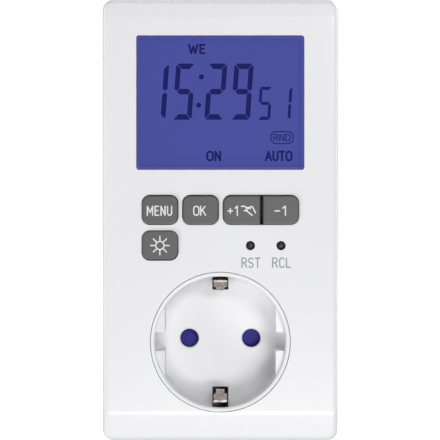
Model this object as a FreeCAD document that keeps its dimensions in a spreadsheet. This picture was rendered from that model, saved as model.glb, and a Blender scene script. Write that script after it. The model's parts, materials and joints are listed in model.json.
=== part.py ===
import FreeCAD, Part
import math
import os
import re

import Sketcher

# A plug-in timer switch for an earthed round-pin wall socket.
# X runs across the front, Z runs up and Y runs from the front face towards the wall.
# The origin is the centre of the plug's end face, midway between the two pins.
# Depths are measured from the flat of the front face towards the wall.

SIZES = [
    # Case
    ("window_side", 10.0, "window to the sides of the case"),
    ("window_above", 10.7, "window to the top of the case"),
    ("case_bottom", 29.4, "plug axis to the bottom"),
    ("case_depth", 38.0, "front face to rear face"),
    ("cover_depth", 14.0, "front face to the seam"),
    ("front_wall", 2.2, "front wall of the cover"),
    ("side_wall", 2.0, "side walls of both shells"),
    ("rear_wall", 2.0, "rear wall of the shell"),
    ("case_corner", 3.0, "corner radius seen from the front"),
    ("front_edge", 1.7, "rounding round the front face"),
    ("rear_edge", 3.0, "rounding round the rear face"),
    ("top_slope", 5.5, "length of the sloped band at the top"),
    ("top_drop", 0.8, "fall of that band at the top edge"),
    ("bottom_slope", 8.3, "length of the sloped band at the bottom"),
    ("bottom_drop", 1.3, "fall of that band at the bottom edge"),
    ("crease_radius", 8.0, "rounding where a band starts"),
    ("tongue_height", 1.6, "how far the shell's tongue enters the cover"),
    ("tongue_wall", 1.0, "tongue thickness"),
    ("tongue_gap", 0.15, "tongue to the cover's wall"),
    ("label_width", 42.0, "bare label field on the rear"),
    ("label_height", 30.0, "bare label field on the rear"),
    ("label_sink", 0.3, "depth of the label field"),
    ("label_middle", 62.0, "height of the label field's middle"),
    # Case screws
    ("case_screw_side", 5.7, "screw axes from the sides"),
    ("case_screw_inset", 4.8, "screw axes from the top and bottom edges"),
    ("cover_boss_radius", 3.2, "screw boss in the cover"),
    ("shell_tube_radius", 4.0, "screw tube in the shell"),
    ("case_screw_radius", 1.35, "shank of a case screw"),
    ("case_screw_length", 17.0, "shank length of a case screw"),
    ("case_head_radius", 2.7, "head of a case screw"),
    ("case_head_height", 1.9, "head of a case screw"),
    ("case_head_seat", 24.0, "depth of the face under the head"),
    ("thread_gap", 0.05, "shank to its threaded hole"),
    ("shank_gap", 0.3, "shank to a hole it passes through"),
    ("head_gap", 0.3, "head to the hole it sinks in"),
    ("hole_bottom", 0.8, "hole left below a screw's tip"),
    # Plug
    ("plug_depth", 17.3, "plug body behind the rear face"),
    ("plug_radius", 18.4, "plug body"),
    ("plug_flat_cut", 2.2, "flats inside the round of the plug body"),
    ("plug_gap", 0.1, "plug body to its hole in the shell"),
    ("plug_flange", 4.0, "flange of the plug body inside the shell"),
    ("plug_flange_thick", 2.0, "that flange"),
    ("stake_radius", 1.2, "heat stakes that hold the plug body"),
    ("stake_head", 0.6, "heads of the stakes"),
    ("stake_head_radius", 1.8, "heads of the stakes"),
    ("plug_rib", 4.8, "width of the guide rib on each flat"),
    ("plug_round", 4.0, "rounding of the end edge"),
    ("plug_end_wall", 3.0, "end wall that holds the pins"),
    ("plug_wall", 2.4, "wall of the plug body"),
    ("plug_flat_wall", 2.2, "wall behind a flat of the plug body"),
    ("pin_radius", 2.4, "contact pin"),
    ("pin_length", 19.0, "contact pin beyond the plug's end"),
    ("pin_spacing", 19.0, "between the two pin axes"),
    ("pin_tip", 1.4, "rounding of a pin's tip"),
    ("pin_seat_radius", 2.8, "thicker part of a pin inside the end wall"),
    ("pin_gap", 0.05, "pin to its hole in the end wall"),
    ("pin_collar_radius", 3.6, "collar inside the end wall"),
    ("pin_collar", 2.0, "collar length"),
    ("pin_tail_radius", 1.6, "tail inside the plug"),
    ("pin_tail", 3.6, "tail length"),
    ("clamp_thick", 2.0, "plate behind the pin collars"),
    ("clamp_side", 3.7, "clamp plate beyond the pin axes"),
    ("clamp_half_height", 4.4, "clamp plate"),
    ("clamp_ear_half_width", 3.0, "ears of the clamp plate"),
    ("clamp_ear_half_height", 10.0, "ears of the clamp plate"),
    ("clamp_screw_z", 7.4, "clamp screws from the axis"),
    ("clamp_post_radius", 2.3, "posts under the clamp plate"),
    # Small screws
    ("small_screw_radius", 1.0, "shank of a small screw"),
    ("small_screw_length", 5.0, "shank of a small screw"),
    ("small_head_radius", 2.0, "head of a small screw"),
    ("small_head_height", 1.3, "head of a small screw"),
    ("slot_width", 0.8, "cross slot in a head"),
    ("slot_length", 2.2, "cross slot in a head"),
    ("slot_depth", 0.8, "cross slot in a head"),
    # Earth parts of the plug
    ("strip_half_width", 3.7, "earth strip on the plug's side"),
    ("strip_sink", 0.6, "strip's face inside the round of the plug body"),
    ("strip_thick", 0.8, "strip metal"),
    ("strip_gap", 0.2, "strip to its groove"),
    ("strip_end", 2.2, "strip's end from the plug's end face"),
    ("strip_bar", 1.8, "strip's cross bar behind the rear face"),
    ("strap_half_width", 2.0, "narrow earth straps"),
    # Socket insert
    ("socket_radius", 19.5, "recess"),
    ("socket_depth", 17.5, "front face to the recess floor"),
    ("socket_wall", 1.25, "recess wall"),
    ("socket_floor", 2.0, "recess floor"),
    ("floor_fillet", 5.0, "rounding between floor and wall"),
    ("rim_round", 0.7, "inner rounding of the rim"),
    ("rim_edge", 0.25, "outer rounding of the rim"),
    ("insert_gap", 0.15, "rim to the cover's hole"),
    ("ledge_width", 2.9, "side ledges inside the recess"),
    ("ledge_depth", 2.4, "front face to the side ledges"),
    ("notch_width", 5.6, "notch in each side ledge"),
    ("hole_radius", 2.85, "pin holes in the floor"),
    ("hole_chamfer", 0.35, "mouth of a pin hole"),
    ("slot_half_width", 2.45, "opening for an earth clip"),
    ("slot_length_in", 4.6, "that opening inside the recess wall"),
    ("slot_front", 1.1, "front face to that opening"),
    ("slot_reach", 0.1, "opening beyond the insert's outside"),
    ("flange_width", 1.0, "flange behind the cover"),
    ("flange_thick", 1.8, "flange"),
    ("ear_screw_side", 4.6, "insert screws from the cover's inner wall"),
    ("ear_radius", 3.2, "ear round an insert screw"),
    ("ear_depth", 7.0, "front face to the ears"),
    ("ear_thick", 2.0, "ears"),
    ("ear_boss_radius", 2.7, "cover bosses under the ears"),
    ("insert_post_radius", 2.5, "posts behind the floor"),
    ("insert_post_x", 7.0, "posts from the middle"),
    ("insert_post_z", 13.0, "posts from the middle"),
    # Shutter
    ("shutter_space", 3.5, "between the floor and the contact carrier"),
    ("shutter_gap", 0.3, "shutter to the faces beside it"),
    ("shutter_hub", 4.2, "hub radius"),
    ("shutter_arm", 2.2, "half width of the arms"),
    ("shutter_pad", 3.4, "radius of the pads behind the holes"),
    ("shutter_ramp", 1.3, "fall of the ramp on a pad"),
    ("pivot_radius", 1.6, "post that the shutter turns on"),
    ("pivot_gap", 0.06, "post to the shutter's bore"),
    ("spring_wire", 0.2, "radius of the shutter spring's wire"),
    ("spring_coil", 2.3, "mean radius of the shutter spring"),
    ("spring_pitch", 0.5, "pitch of the shutter spring"),
    ("spring_turns", 2.0, "turns of the shutter spring"),
    ("spring_well", 1.3, "depth of the well for the spring"),
    ("spring_well_radius", 3.0, "radius of the well for the spring"),
    # Contact carrier
    ("carrier_inset", 2.55, "carrier plate inside the insert's outside"),
    ("carrier_plate", 2.0, "carrier plate"),
    ("carrier_hole", 3.2, "pin passage in the plate"),
    ("tower_half_width", 4.2, "contact tower across"),
    ("tower_half_height", 5.2, "contact tower up and down"),
    ("tower_wall", 0.9, "contact tower wall"),
    ("clip_slot_gap", 0.3, "earth clip to its slots"),
    ("lead_thick", 0.8, "brass leads and contacts"),
    ("jaw_gap", 2.3, "half gap between contact jaws"),
    ("jaw_half_height", 3.6, "contact jaws"),
    ("jaw_front", 1.4, "carrier plate to the jaws"),
    # Earth clips
    ("clip_half_width", 2.0, "clip's blade and the strap behind the floor"),
    ("clip_neck", 1.25, "half width of the clip's neck"),
    ("clip_thick", 0.6, "clip metal"),
    ("clip_root", 3.0, "clip's outer face at the floor, inside the recess wall"),
    ("clip_belly", 4.5, "clip's inner face at its bulge, inside the recess wall"),
    ("clip_belly_depth", 10.5, "front face to the bulge"),
    ("clip_crown", 0.7, "half length of the bulge's crown"),
    ("clip_tip", 1.2, "clip's tip, inside the recess wall"),
    ("clip_tip_depth", 4.2, "front face to the clip's tip"),
    ("clip_blade", 0.62, "share of the clip's run from tip to crown that its wide blade takes"),
    # Window and display
    ("window_width", 50.0, "window opening"),
    ("window_height", 40.0, "window opening"),
    ("window_over_keys", 7.6, "upper keys to the window"),
    ("window_corner", 0.8, "window corner"),
    ("window_sink", 0.25, "front face to the window's face"),
    ("window_gap", 0.08, "window to its opening"),
    ("window_flange", 1.6, "flange round the window behind the wall"),
    ("window_flange_thick", 1.0, "that flange"),
    ("glass_side", 1.2, "display glass beyond the window at the sides"),
    ("glass_top", 1.1, "display glass beyond the window at the top"),
    ("glass_bottom", 4.0, "display glass beyond the window at the bottom"),
    ("glass_gap", 0.2, "window flange to the display glass"),
    ("glass_thick", 2.2, "display glass"),
    ("frame_wall", 1.0, "display frame"),
    ("frame_gap", 0.1, "display frame to the glass"),
    ("guide_inset", 2.0, "light guide's left edge inside the glass"),
    ("guide_bottom", 0.8, "light guide below the window"),
    ("contact_strip", 2.0, "height of the elastomer contact strip"),
    ("contact_strip_inset", 0.6, "that strip above the glass's bottom edge"),
    ("contact_strip_side", 2.2, "that strip short of the glass's side edges"),
    ("led_wide", 1.4, "backlight lamps across"),
    ("led_tall", 3.2, "backlight lamps up and down"),
    ("led_high", 1.4, "backlight lamps off the board"),
    ("led_pitch", 12.0, "between the backlight lamps"),
    # Keys
    ("keys_over_ring", 3.65, "socket's ring to the lower keys"),
    ("row_gap", 2.0, "between the two rows of keys"),
    ("key_width", 10.6, "single key"),
    ("key_height", 8.6, "all square keys"),
    ("key_corner", 2.3, "key corner"),
    ("key_gap", 0.2, "key to its opening"),
    ("key_proud", 0.9, "key above the front face"),
    ("key_settle", 0.12, "keys off the middle of their openings"),
    ("key_edge", 0.45, "rounding of a key's top edge"),
    ("key_inset", 1.77, "first key inside the window's left edge"),
    ("key_spacing", 1.44, "between keys of one row"),
    ("plus_width", 11.03, "plus key"),
    ("minus_width", 10.63, "minus key"),
    ("pair_gap", 0.75, "gap between the plus and minus keys"),
    ("key_flange", 0.55, "flange round a key behind the wall"),
    ("key_flange_thick", 1.0, "that flange"),
    ("key_play", 0.1, "flange to the wall at rest"),
    ("key_stem", 2.0, "stem radius"),
    ("key_travel", 1.1, "travel of every key"),
    ("small_key_shift", 1.45, "the two small keys right of the pair's middle"),
    ("small_key_pitch", 9.1, "reset key to recall key"),
    ("pinhole_radius", 1.35, "holes for the reset and recall keys"),
    ("pinhole_edge", 0.2, "rounding of those holes"),
    ("small_key_radius", 1.15, "reset and recall keys"),
    ("small_key_round", 1.0, "rounding of their tops"),
    ("small_key_sink", 0.35, "front face to the top of those keys"),
    ("small_key_flange", 2.3, "flange radius of those keys"),
    # Rubber domes
    ("dome_height", 3.6, "dome off the control board"),
    ("dome_foot", 3.9, "foot radius"),
    ("dome_foot_thick", 0.7, "foot"),
    ("dome_neck", 2.2, "neck radius"),
    ("dome_skin", 0.6, "wall of the dome"),
    ("dome_head", 1.2, "thickness of the head"),
    ("dome_pill", 1.2, "radius of the contact pill"),
    # Control board
    ("board_depth", 9.0, "front face to the control board"),
    ("board_thick", 1.6, "both circuit boards"),
    ("board_side_gap", 0.8, "control board to the cover's inner wall"),
    ("board_margin", 0.2, "control board below the lower domes"),
    ("board_top_gap", 0.2, "control board beyond the display frame"),
    ("board_screw_inset", 2.6, "control board screws from the board's edges"),
    ("board_screw_top_x", 16.0, "upper board screws from the middle"),
    ("board_boss_gap", 0.4, "upper board bosses above the display frame"),
    ("board_boss_radius", 2.0, "cover bosses under the board"),
    ("board_screw_length", 4.6, "shank of a board screw"),
    ("chip_size", 9.0, "controller"),
    ("chip_thick", 1.4, "controller"),
    ("chip_z", 66.0, "controller's middle"),
    ("crystal_radius", 1.5, "clock crystal"),
    ("crystal_length", 6.0, "clock crystal"),
    ("crystal_x", 14.0, "clock crystal"),
    ("plug_block_wide", 12.0, "ribbon sockets"),
    ("plug_block_tall", 4.0, "ribbon sockets"),
    ("plug_block_high", 3.4, "ribbon sockets"),
    ("ribbon_gap", 0.6, "ribbon sockets to the screw heads beside them"),
    ("ribbon_height", 3.4, "ribbon above the power board's lower edge"),
    ("ribbon_wide", 10.0, "ribbon"),
    ("ribbon_thick", 0.8, "ribbon"),
    ("ribbon_bow", 3.0, "slack of the ribbon"),
    # Power board
    ("power_standoff", 4.4, "power board to the shell's rear wall"),
    ("power_side_gap", 0.65, "power board to the shell's inner wall"),
    ("power_over_ring", 3.85, "socket's ring to the power board"),
    ("power_top_gap", 8.1, "power board to the shell's top wall"),
    ("power_screw_side", 3.6, "power board screws from the board's sides"),
    ("power_screw_inset", 4.0, "power board screws from its ends"),
    ("power_boss_radius", 2.4, "shell bosses under the board"),
    ("relay_x", 15.0, "relay's middle"),
    ("relay_z", 44.0, "relay's middle"),
    ("relay_wide", 20.0, "relay"),
    ("relay_tall", 15.0, "relay"),
    ("relay_high", 15.0, "relay off the board"),
    ("relay_wall", 0.8, "relay cover"),
    ("relay_base", 1.6, "relay base"),
    ("relay_gap", 0.1, "relay base to its cover"),
    ("coil_core", 2.2, "relay core radius"),
    ("coil_bobbin", 5.2, "bobbin flange radius"),
    ("coil_flange", 0.7, "bobbin flange"),
    ("coil_tube", 0.5, "bobbin tube"),
    ("coil_winding", 4.6, "winding radius"),
    ("coil_length", 8.6, "bobbin length"),
    ("yoke_thick", 1.0, "relay yoke"),
    ("yoke_half_height", 4.0, "relay yoke"),
    ("coil_x", 1.0, "coil axis right of the relay's middle"),
    ("armature_gap", 0.7, "core to the armature"),
    ("armature_thick", 1.0, "armature"),
    ("armature_hinge_gap", 0.1, "yoke to the armature"),
    ("film_x", -15.0, "dropper capacitor's middle"),
    ("film_z", 42.5, "dropper capacitor's middle"),
    ("film_wide", 26.0, "dropper capacitor"),
    ("film_tall", 9.0, "dropper capacitor"),
    ("film_high", 14.5, "dropper capacitor"),
    ("can_x", 12.0, "smoothing capacitor"),
    ("can_z", 66.0, "smoothing capacitor"),
    ("can_radius", 4.0, "smoothing capacitor"),
    ("can_high", 12.0, "smoothing capacitor"),
    ("disc_x", -26.0, "varistor"),
    ("disc_z", 60.0, "varistor"),
    ("disc_radius", 4.5, "varistor"),
    ("disc_thick", 3.6, "varistor"),
    ("fuse_x", 25.0, "fusible resistor"),
    ("fuse_z", 66.0, "fusible resistor"),
    ("fuse_radius", 2.2, "fusible resistor"),
    ("fuse_length", 11.0, "fusible resistor"),
    ("diode_x", -6.0, "middle of the rectifier diodes"),
    ("diode_z", 58.0, "rectifier diodes"),
    ("diode_radius", 1.3, "rectifier diode"),
    ("diode_length", 5.0, "rectifier diode"),
    ("diode_pitch", 4.0, "between the diodes"),
    ("cell_x", -12.0, "backup cells"),
    ("cell_z", 78.0, "backup cells"),
    ("cell_radius", 6.0, "backup cells"),
    ("cell_high", 13.0, "backup cells"),
    ("tab_thick", 0.4, "cell tabs"),
    ("tab_half_width", 1.6, "cell tabs"),
    ("tab_reach", 2.0, "cell tabs beyond the cell"),
    # Leads
    ("lead_outer_left", 9.2, "mains leads from the middle"),
    ("lead_outer_right", 12.2, "mains leads from the middle"),
    ("lead_inner_left", 5.0, "switched lead from the middle"),
    ("lead_inner_right", 7.4, "switched lead from the middle"),
    ("lead_high", 9.9, "mains leads above the axis"),
    ("lead_low", 7.2, "switched lead above the axis"),
    ("lead_top", 4.0, "leads over the power board"),
]

doc = FreeCAD.newDocument("plug_in_timer")
sheet = doc.addObject("Spreadsheet::Sheet", "sizes")
for row, (alias, number, meaning) in enumerate(SIZES, 1):
    sheet.set(f"A{row}", alias)
    sheet.set(f"B{row}", str(number))
    sheet.setAlias(f"B{row}", alias)
    sheet.set(f"C{row}", meaning)
gauge = doc.addObject("App::FeaturePython", "gauge")
gauge.addProperty("App::PropertyFloat", "Reading", "Sums", "the last sum that was read")
doc.recompute()

ALIASES = {alias for alias, number, meaning in SIZES}
PIECES = []

# Places that several pieces share, as expressions of the sizes
FRONT = "(-plug_depth - case_depth)"
REAR = "(-plug_depth)"
CASE_WIDTH = "(window_width + 2 * window_side)"
INSIDE_X = f"({CASE_WIDTH} / 2 - side_wall)"
RING = "(socket_radius + socket_wall)"
LOW_ROW = f"({RING} + keys_over_ring + key_height / 2)"
KEY_ROW = f"({LOW_ROW} + key_height + row_gap)"
WINDOW_BOTTOM = f"({KEY_ROW} + key_height / 2 + window_over_keys)"
WINDOW_TOP = f"({WINDOW_BOTTOM} + window_height)"
CASE_TOP = f"({WINDOW_TOP} + window_above)"
CASE_SCREW_X = f"({CASE_WIDTH} / 2 - case_screw_side)"
SCREW_TOP = f"({CASE_TOP} - case_screw_inset)"
SCREW_BOTTOM = "(-case_bottom + case_screw_inset)"
PIN_X = "(pin_spacing / 2)"
PLUG_FLAT = "(plug_radius - plug_flat_cut)"
PLUG_BORE = "(plug_radius - plug_wall)"
PLUG_BORE_FLAT = f"({PLUG_FLAT} - plug_flat_wall)"
STRIP_FACE = "(plug_radius - strip_sink)"
LEDGE_FLAT = "(socket_radius - ledge_width)"
SLOT_INNER = "(socket_radius - slot_length_in)"
CLIP_ROOT = "(socket_radius - clip_root)"
CLIP_BELLY = "(socket_radius - clip_belly)"
CLIP_TIP = "(socket_radius - clip_tip)"
CARRIER_RADIUS = f"({RING} - carrier_inset)"
EAR_SCREW_X = f"({INSIDE_X} - ear_screw_side)"
MENU_LEFT = "(-window_width / 2 + key_inset)"
MENU_RIGHT = f"({MENU_LEFT} + key_width)"
CONFIRM_LEFT = f"({MENU_RIGHT} + key_spacing)"
CONFIRM_RIGHT = f"({CONFIRM_LEFT} + key_width)"
PLUS_LEFT = f"({CONFIRM_RIGHT} + key_spacing)"
PLUS_RIGHT = f"({PLUS_LEFT} + plus_width)"
MINUS_LEFT = f"({PLUS_RIGHT} + pair_gap)"
MINUS_RIGHT = f"({MINUS_LEFT} + minus_width)"
RESET_X = f"(({PLUS_LEFT} + {MINUS_RIGHT}) / 2 - small_key_pitch / 2 + small_key_shift)"
RECALL_X = f"({RESET_X} + small_key_pitch)"
GLASS_SIDE = "(window_width / 2 + glass_side)"
GLASS_TOP = f"({WINDOW_TOP} + glass_top)"
GLASS_LOW = f"({WINDOW_BOTTOM} - glass_bottom)"
GLASS_FRONT = "(front_wall + window_flange_thick + glass_gap)"
GLASS_BACK = f"({GLASS_FRONT} + glass_thick)"
FRAME_TOP = f"({GLASS_TOP} + frame_gap + frame_wall)"
BOARD_SIDE = f"({INSIDE_X} - board_side_gap)"
BOARD_BOTTOM = f"({LOW_ROW} - dome_foot - board_margin)"
BOARD_TOP = f"({FRAME_TOP} + board_top_gap)"
BOARD_SCREW_X = f"({BOARD_SIDE} - board_screw_inset)"
BOARD_SCREW_TOP = f"({FRAME_TOP} + board_boss_gap + board_boss_radius)"
BOARD_BACK = "(board_depth + board_thick)"
SHELL_INSIDE = "(case_depth - rear_wall)"
STAKE_FRONT = f"({SHELL_INSIDE} - plug_flange_thick)"
POWER_BACK = f"({SHELL_INSIDE} - power_standoff)"
POWER_FRONT = f"({POWER_BACK} - board_thick)"
POWER_SIDE = f"({INSIDE_X} - tongue_gap - tongue_wall - power_side_gap)"
POWER_BOTTOM = f"({RING} + power_over_ring)"
POWER_TOP = f"({CASE_TOP} - side_wall - power_top_gap)"
POWER_SCREW_X = f"({POWER_SIDE} - power_screw_side)"
RIBBON_X = f"(-{POWER_SCREW_X} + small_head_radius + ribbon_gap + plug_block_wide / 2)"
RIBBON_Z = f"({POWER_BOTTOM} + ribbon_height)"
FLOOR_BACK = "(socket_depth + socket_floor)"
CARRIER_FRONT = f"({FLOOR_BACK} + shutter_space)"
CARRIER_BACK = f"({CARRIER_FRONT} + carrier_plate)"
END_INSIDE = "(case_depth + plug_depth - plug_end_wall)"
CLAMP_BACK = f"({END_INSIDE} - pin_collar)"
CLAMP_FRONT = f"({CLAMP_BACK} - clamp_thick)"
TAIL_FRONT = f"({CLAMP_BACK} - pin_tail)"
BAR_DEPTH = "(case_depth + strip_bar)"
KEY_BACK = "(front_wall + key_play + key_flange_thick)"
DOME_FRONT = "(board_depth - dome_height)"


def bound(expression):
    """The expression with every size named through the sheet."""
    word = re.compile(r"[A-Za-z_][A-Za-z_0-9]*")
    return word.sub(lambda m: f"sizes.{m[0]}" if m[0] in ALIASES else m[0], str(expression))


def value(expression):
    """The expression's number at the sizes that the sheet holds now."""
    gauge.setExpression("Reading", bound(expression))
    gauge.recompute()
    return gauge.Reading


def at_depth(depth):
    """The Y of a depth behind the front face."""
    return f"({FRONT} + ({depth}))"


def bind(thing, field, expression):
    thing.setExpression(field, bound(expression))


def keep(thing, label):
    """Names a finished sub-part, which is exported under that name."""
    thing.Label = label
    PIECES.append(thing)
    return thing


# Part primitives, given by their limits along X, depth and Z


def block(name, x, depth, z):
    made = doc.addObject("Part::Box", name)
    y = [at_depth(d) for d in depth]
    for length, corner, (low, high) in zip(("Length", "Width", "Height"), "xyz", (x, y, z)):
        bind(made, length, f"({high}) - ({low})")
        bind(made, f"Placement.Base.{corner}", low)
    return made


def rod(name, radius, x, depth, z):
    """A cylinder along the one direction that is given as a pair."""
    made = doc.addObject("Part::Cylinder", name)
    turns = {
        "x": FreeCAD.Rotation(FreeCAD.Vector(0, 1, 0), 90),
        "y": FreeCAD.Rotation(FreeCAD.Vector(1, 0, 0), -90),
        "z": FreeCAD.Rotation(),
    }
    along = "x" if isinstance(x, tuple) else "y" if isinstance(depth, tuple) else "z"
    y = tuple(at_depth(d) for d in depth) if isinstance(depth, tuple) else at_depth(depth)
    limits = {"x": x, "y": y, "z": z}
    made.Placement = FreeCAD.Placement(FreeCAD.Vector(), turns[along])
    low, high = limits[along]
    bind(made, "Radius", radius)
    bind(made, "Height", f"({high}) - ({low})")
    for corner in "xyz":
        bind(made, f"Placement.Base.{corner}", low if corner == along else limits[corner])
    return made


def join(name, parts):
    made = doc.addObject("Part::MultiFuse", name)
    made.Shapes = parts
    made.Refine = True
    return made


def group(name, parts):
    """Several separate solids under one name."""
    made = doc.addObject("Part::Compound", name)
    made.Links = parts
    return made


def cut(name, base, tools):
    made = doc.addObject("Part::Cut", name)
    made.Base = base
    made.Tool = tools[0] if len(tools) == 1 else join(name + "_tools", tools)
    made.Refine = True
    return made


# Sketches and features of PartDesign bodies


def new_body(name):
    return doc.addObject("PartDesign::Body", name)


def new_sketch(body, name, plane, offset):
    """A sketch on one of the body's own planes. The offset is along the row's own axis."""
    made = body.newObject("Sketcher::SketchObject", name)
    found = [f for f in body.Origin.OriginFeatures if f.Role == plane]
    made.AttachmentSupport = [(found[0], "")]
    made.MapMode = "FlatFace"
    sign = "-" if plane == "XZ_Plane" else ""
    bind(made, ".AttachmentOffset.Base.z", f"{sign}({offset})")
    return made


def front_sketch(body, name, depth):
    """A sketch seen from the front, whose own axes are X and Z."""
    return new_sketch(body, name, "XZ_Plane", at_depth(depth))


def side_sketch(body, name):
    """A sketch in the middle plane, whose own axes are Y and Z."""
    return new_sketch(body, name, "YZ_Plane", "0")


def fix(sketch, kind, geometry, point, expression):
    """Holds a point of the sketch at a bound distance from its origin."""
    number = value(expression)
    index = sketch.addConstraint(Sketcher.Constraint(kind, -1, 1, geometry, point, number))
    bind(sketch, f"Constraints[{index}]", expression)


def fix_point(sketch, geometry, point, place):
    fix(sketch, "DistanceX", geometry, point, place[0])
    fix(sketch, "DistanceY", geometry, point, place[1])


def set_radius(sketch, geometry, expression):
    index = sketch.addConstraint(Sketcher.Constraint("Radius", geometry, value(expression)))
    bind(sketch, f"Constraints[{index}]", expression)


def draw_outline(sketch, corners):
    """A closed outline of straight lines through bound corners."""
    places = [FreeCAD.Vector(value(a), value(b), 0) for a, b in corners]
    first = sketch.GeometryCount
    for start, end in zip(places, places[1:] + places[:1]):
        sketch.addGeometry(Part.LineSegment(start, end), False)
    for i in range(len(corners)):
        after = first + (i + 1) % len(corners)
        sketch.addConstraint(Sketcher.Constraint("Coincident", first + i, 2, after, 1))
    for i, corner in enumerate(corners):
        fix_point(sketch, first + i, 1, corner)


def draw_circle(sketch, place, radius):
    centre = FreeCAD.Vector(value(place[0]), value(place[1]), 0)
    circle = Part.Circle(centre, FreeCAD.Vector(0, 0, 1), value(radius))
    index = sketch.addGeometry(circle, False)
    fix_point(sketch, index, 3, place)
    set_radius(sketch, index, radius)


def draw_rectangle(sketch, x, z):
    draw_outline(sketch, [(x[0], z[0]), (x[1], z[0]), (x[1], z[1]), (x[0], z[1])])


def draw_flatted_circle(sketch, radius, flat):
    """A circle about the origin with two upright flats, at plus and minus flat."""
    r, f = value(radius), value(flat)
    half = math.acos(f / r)
    axis = FreeCAD.Vector(0, 0, 1)
    circle = Part.Circle(FreeCAD.Vector(), axis, r)
    rise = math.sqrt(r * r - f * f)
    corners = [(f, -rise), (f, rise), (-f, rise), (-f, -rise)]
    points = [FreeCAD.Vector(a, b, 0) for a, b in corners]
    first = sketch.GeometryCount
    sketch.addGeometry(Part.LineSegment(points[0], points[1]), False)
    sketch.addGeometry(Part.ArcOfCircle(circle, half, math.pi - half), False)
    sketch.addGeometry(Part.LineSegment(points[2], points[3]), False)
    sketch.addGeometry(Part.ArcOfCircle(circle, math.pi + half, 2 * math.pi - half), False)
    for i in range(4):
        after = first + (i + 1) % 4
        sketch.addConstraint(Sketcher.Constraint("Coincident", first + i, 2, after, 1))
    for arc in (first + 1, first + 3):
        sketch.addConstraint(Sketcher.Constraint("Coincident", arc, 3, -1, 1))
        set_radius(sketch, arc, radius)
    for line, side in ((first, flat), (first + 2, f"-({flat})")):
        sketch.addConstraint(Sketcher.Constraint("Vertical", line))
        fix(sketch, "DistanceX", line, 1, side)


def draw_rounded(sketch, x, z, radius):
    """A rectangle with four equal rounded corners."""
    left, right, low, high = value(x[0]), value(x[1]), value(z[0]), value(z[1])
    r = value(radius)
    axis = FreeCAD.Vector(0, 0, 1)
    corners = [(right - r, low + r), (right - r, high - r), (left + r, high - r), (left + r, low + r)]
    lines = [
        ((left + r, low), (right - r, low)),
        ((right, low + r), (right, high - r)),
        ((right - r, high), (left + r, high)),
        ((left, high - r), (left, low + r)),
    ]
    first = sketch.GeometryCount
    for i in range(4):
        start, end = [FreeCAD.Vector(*p, 0) for p in lines[i]]
        sketch.addGeometry(Part.LineSegment(start, end), False)
        circle = Part.Circle(FreeCAD.Vector(*corners[i], 0), axis, r)
        begin = math.radians(-90 + 90 * i)
        sketch.addGeometry(Part.ArcOfCircle(circle, begin, begin + math.pi / 2), False)
    for i in range(8):
        after = first + (i + 1) % 8
        sketch.addConstraint(Sketcher.Constraint("Tangent", first + i, 2, after, 1))
    for i, kind in enumerate(("Horizontal", "Vertical", "Horizontal", "Vertical")):
        sketch.addConstraint(Sketcher.Constraint(kind, first + 2 * i))
    for i in range(4):
        set_radius(sketch, first + 2 * i + 1, radius)
    fix(sketch, "DistanceY", first, 1, z[0])
    fix(sketch, "DistanceX", first + 2, 1, x[1])
    fix(sketch, "DistanceY", first + 4, 1, z[1])
    fix(sketch, "DistanceX", first + 6, 1, x[0])


def check_change(body, name, before, sign):
    """Stops the build if a feature added or cut nothing."""
    doc.recompute()
    change = (body.Shape.Volume - before) * sign
    if change <= 0:
        raise RuntimeError(f"{body.Name}: {name} changed nothing")


def volume_of(body):
    doc.recompute()
    return body.Shape.Volume if body.Tip else 0.0


def pad(body, name, sketch, length, towards_wall=True):
    """Adds the sketch's outline over a depth, from its own plane."""
    before = volume_of(body)
    made = body.newObject("PartDesign::Pad", name)
    made.Profile = sketch
    made.Reversed = towards_wall
    bind(made, "Length", length)
    check_change(body, name, before, 1)
    return made


def pocket(body, name, sketch, length, towards_wall=True):
    """Cuts the sketch's outline over a depth, from its own plane."""
    before = volume_of(body)
    made = body.newObject("PartDesign::Pocket", name)
    made.Profile = sketch
    made.Reversed = not towards_wall
    bind(made, "Length", length)
    check_change(body, name, before, -1)
    return made


def both_ways(body, name, sketch, width):
    """Adds a side view's outline over a width, half to each side of the middle plane."""
    before = volume_of(body)
    made = body.newObject("PartDesign::Pad", name)
    made.Profile = sketch
    made.Midplane = True
    bind(made, "Length", width)
    check_change(body, name, before, 1)
    return made


def turned(body, name, sketch):
    """Turns an outline drawn beside the plug axis once round that axis."""
    made = body.newObject("PartDesign::Revolution", name)
    made.Profile = sketch
    made.ReferenceAxis = (sketch, ["H_Axis"])
    made.Angle = 360
    doc.recompute()
    return made


def edges_where(body, test):
    """The names of the body's edges that pass a test on their box and curve."""
    doc.recompute()
    found = []
    for i, edge in enumerate(body.Shape.Edges, 1):
        if test(edge, edge.BoundBox):
            found.append(f"Edge{i}")
    if not found:
        raise RuntimeError(f"{body.Name}: no edge to round")
    return found


def dress(body, kind, name, field, amount, test):
    made_on = body.Tip
    names = edges_where(body, test)
    made = body.newObject(kind, name)
    made.Base = (made_on, names)
    bind(made, field, amount)
    doc.recompute()
    return made


def round_edges(body, name, radius, test):
    return dress(body, "PartDesign::Fillet", name, "Radius", radius, test)


def bevel_edges(body, name, size, test):
    return dress(body, "PartDesign::Chamfer", name, "Size", size, test)


def near(a, b):
    return abs(a - b) < 1e-3


def along_depth(edge, box):
    """A straight edge that runs from front to rear."""
    return isinstance(edge.Curve, Part.Line) and box.XLength < 1e-6 and box.ZLength < 1e-6


def at_level(box, y):
    """An edge that lies in one plane across the depth."""
    return box.YLength < 1e-6 and near(box.YMin, y)


# Screws


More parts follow.
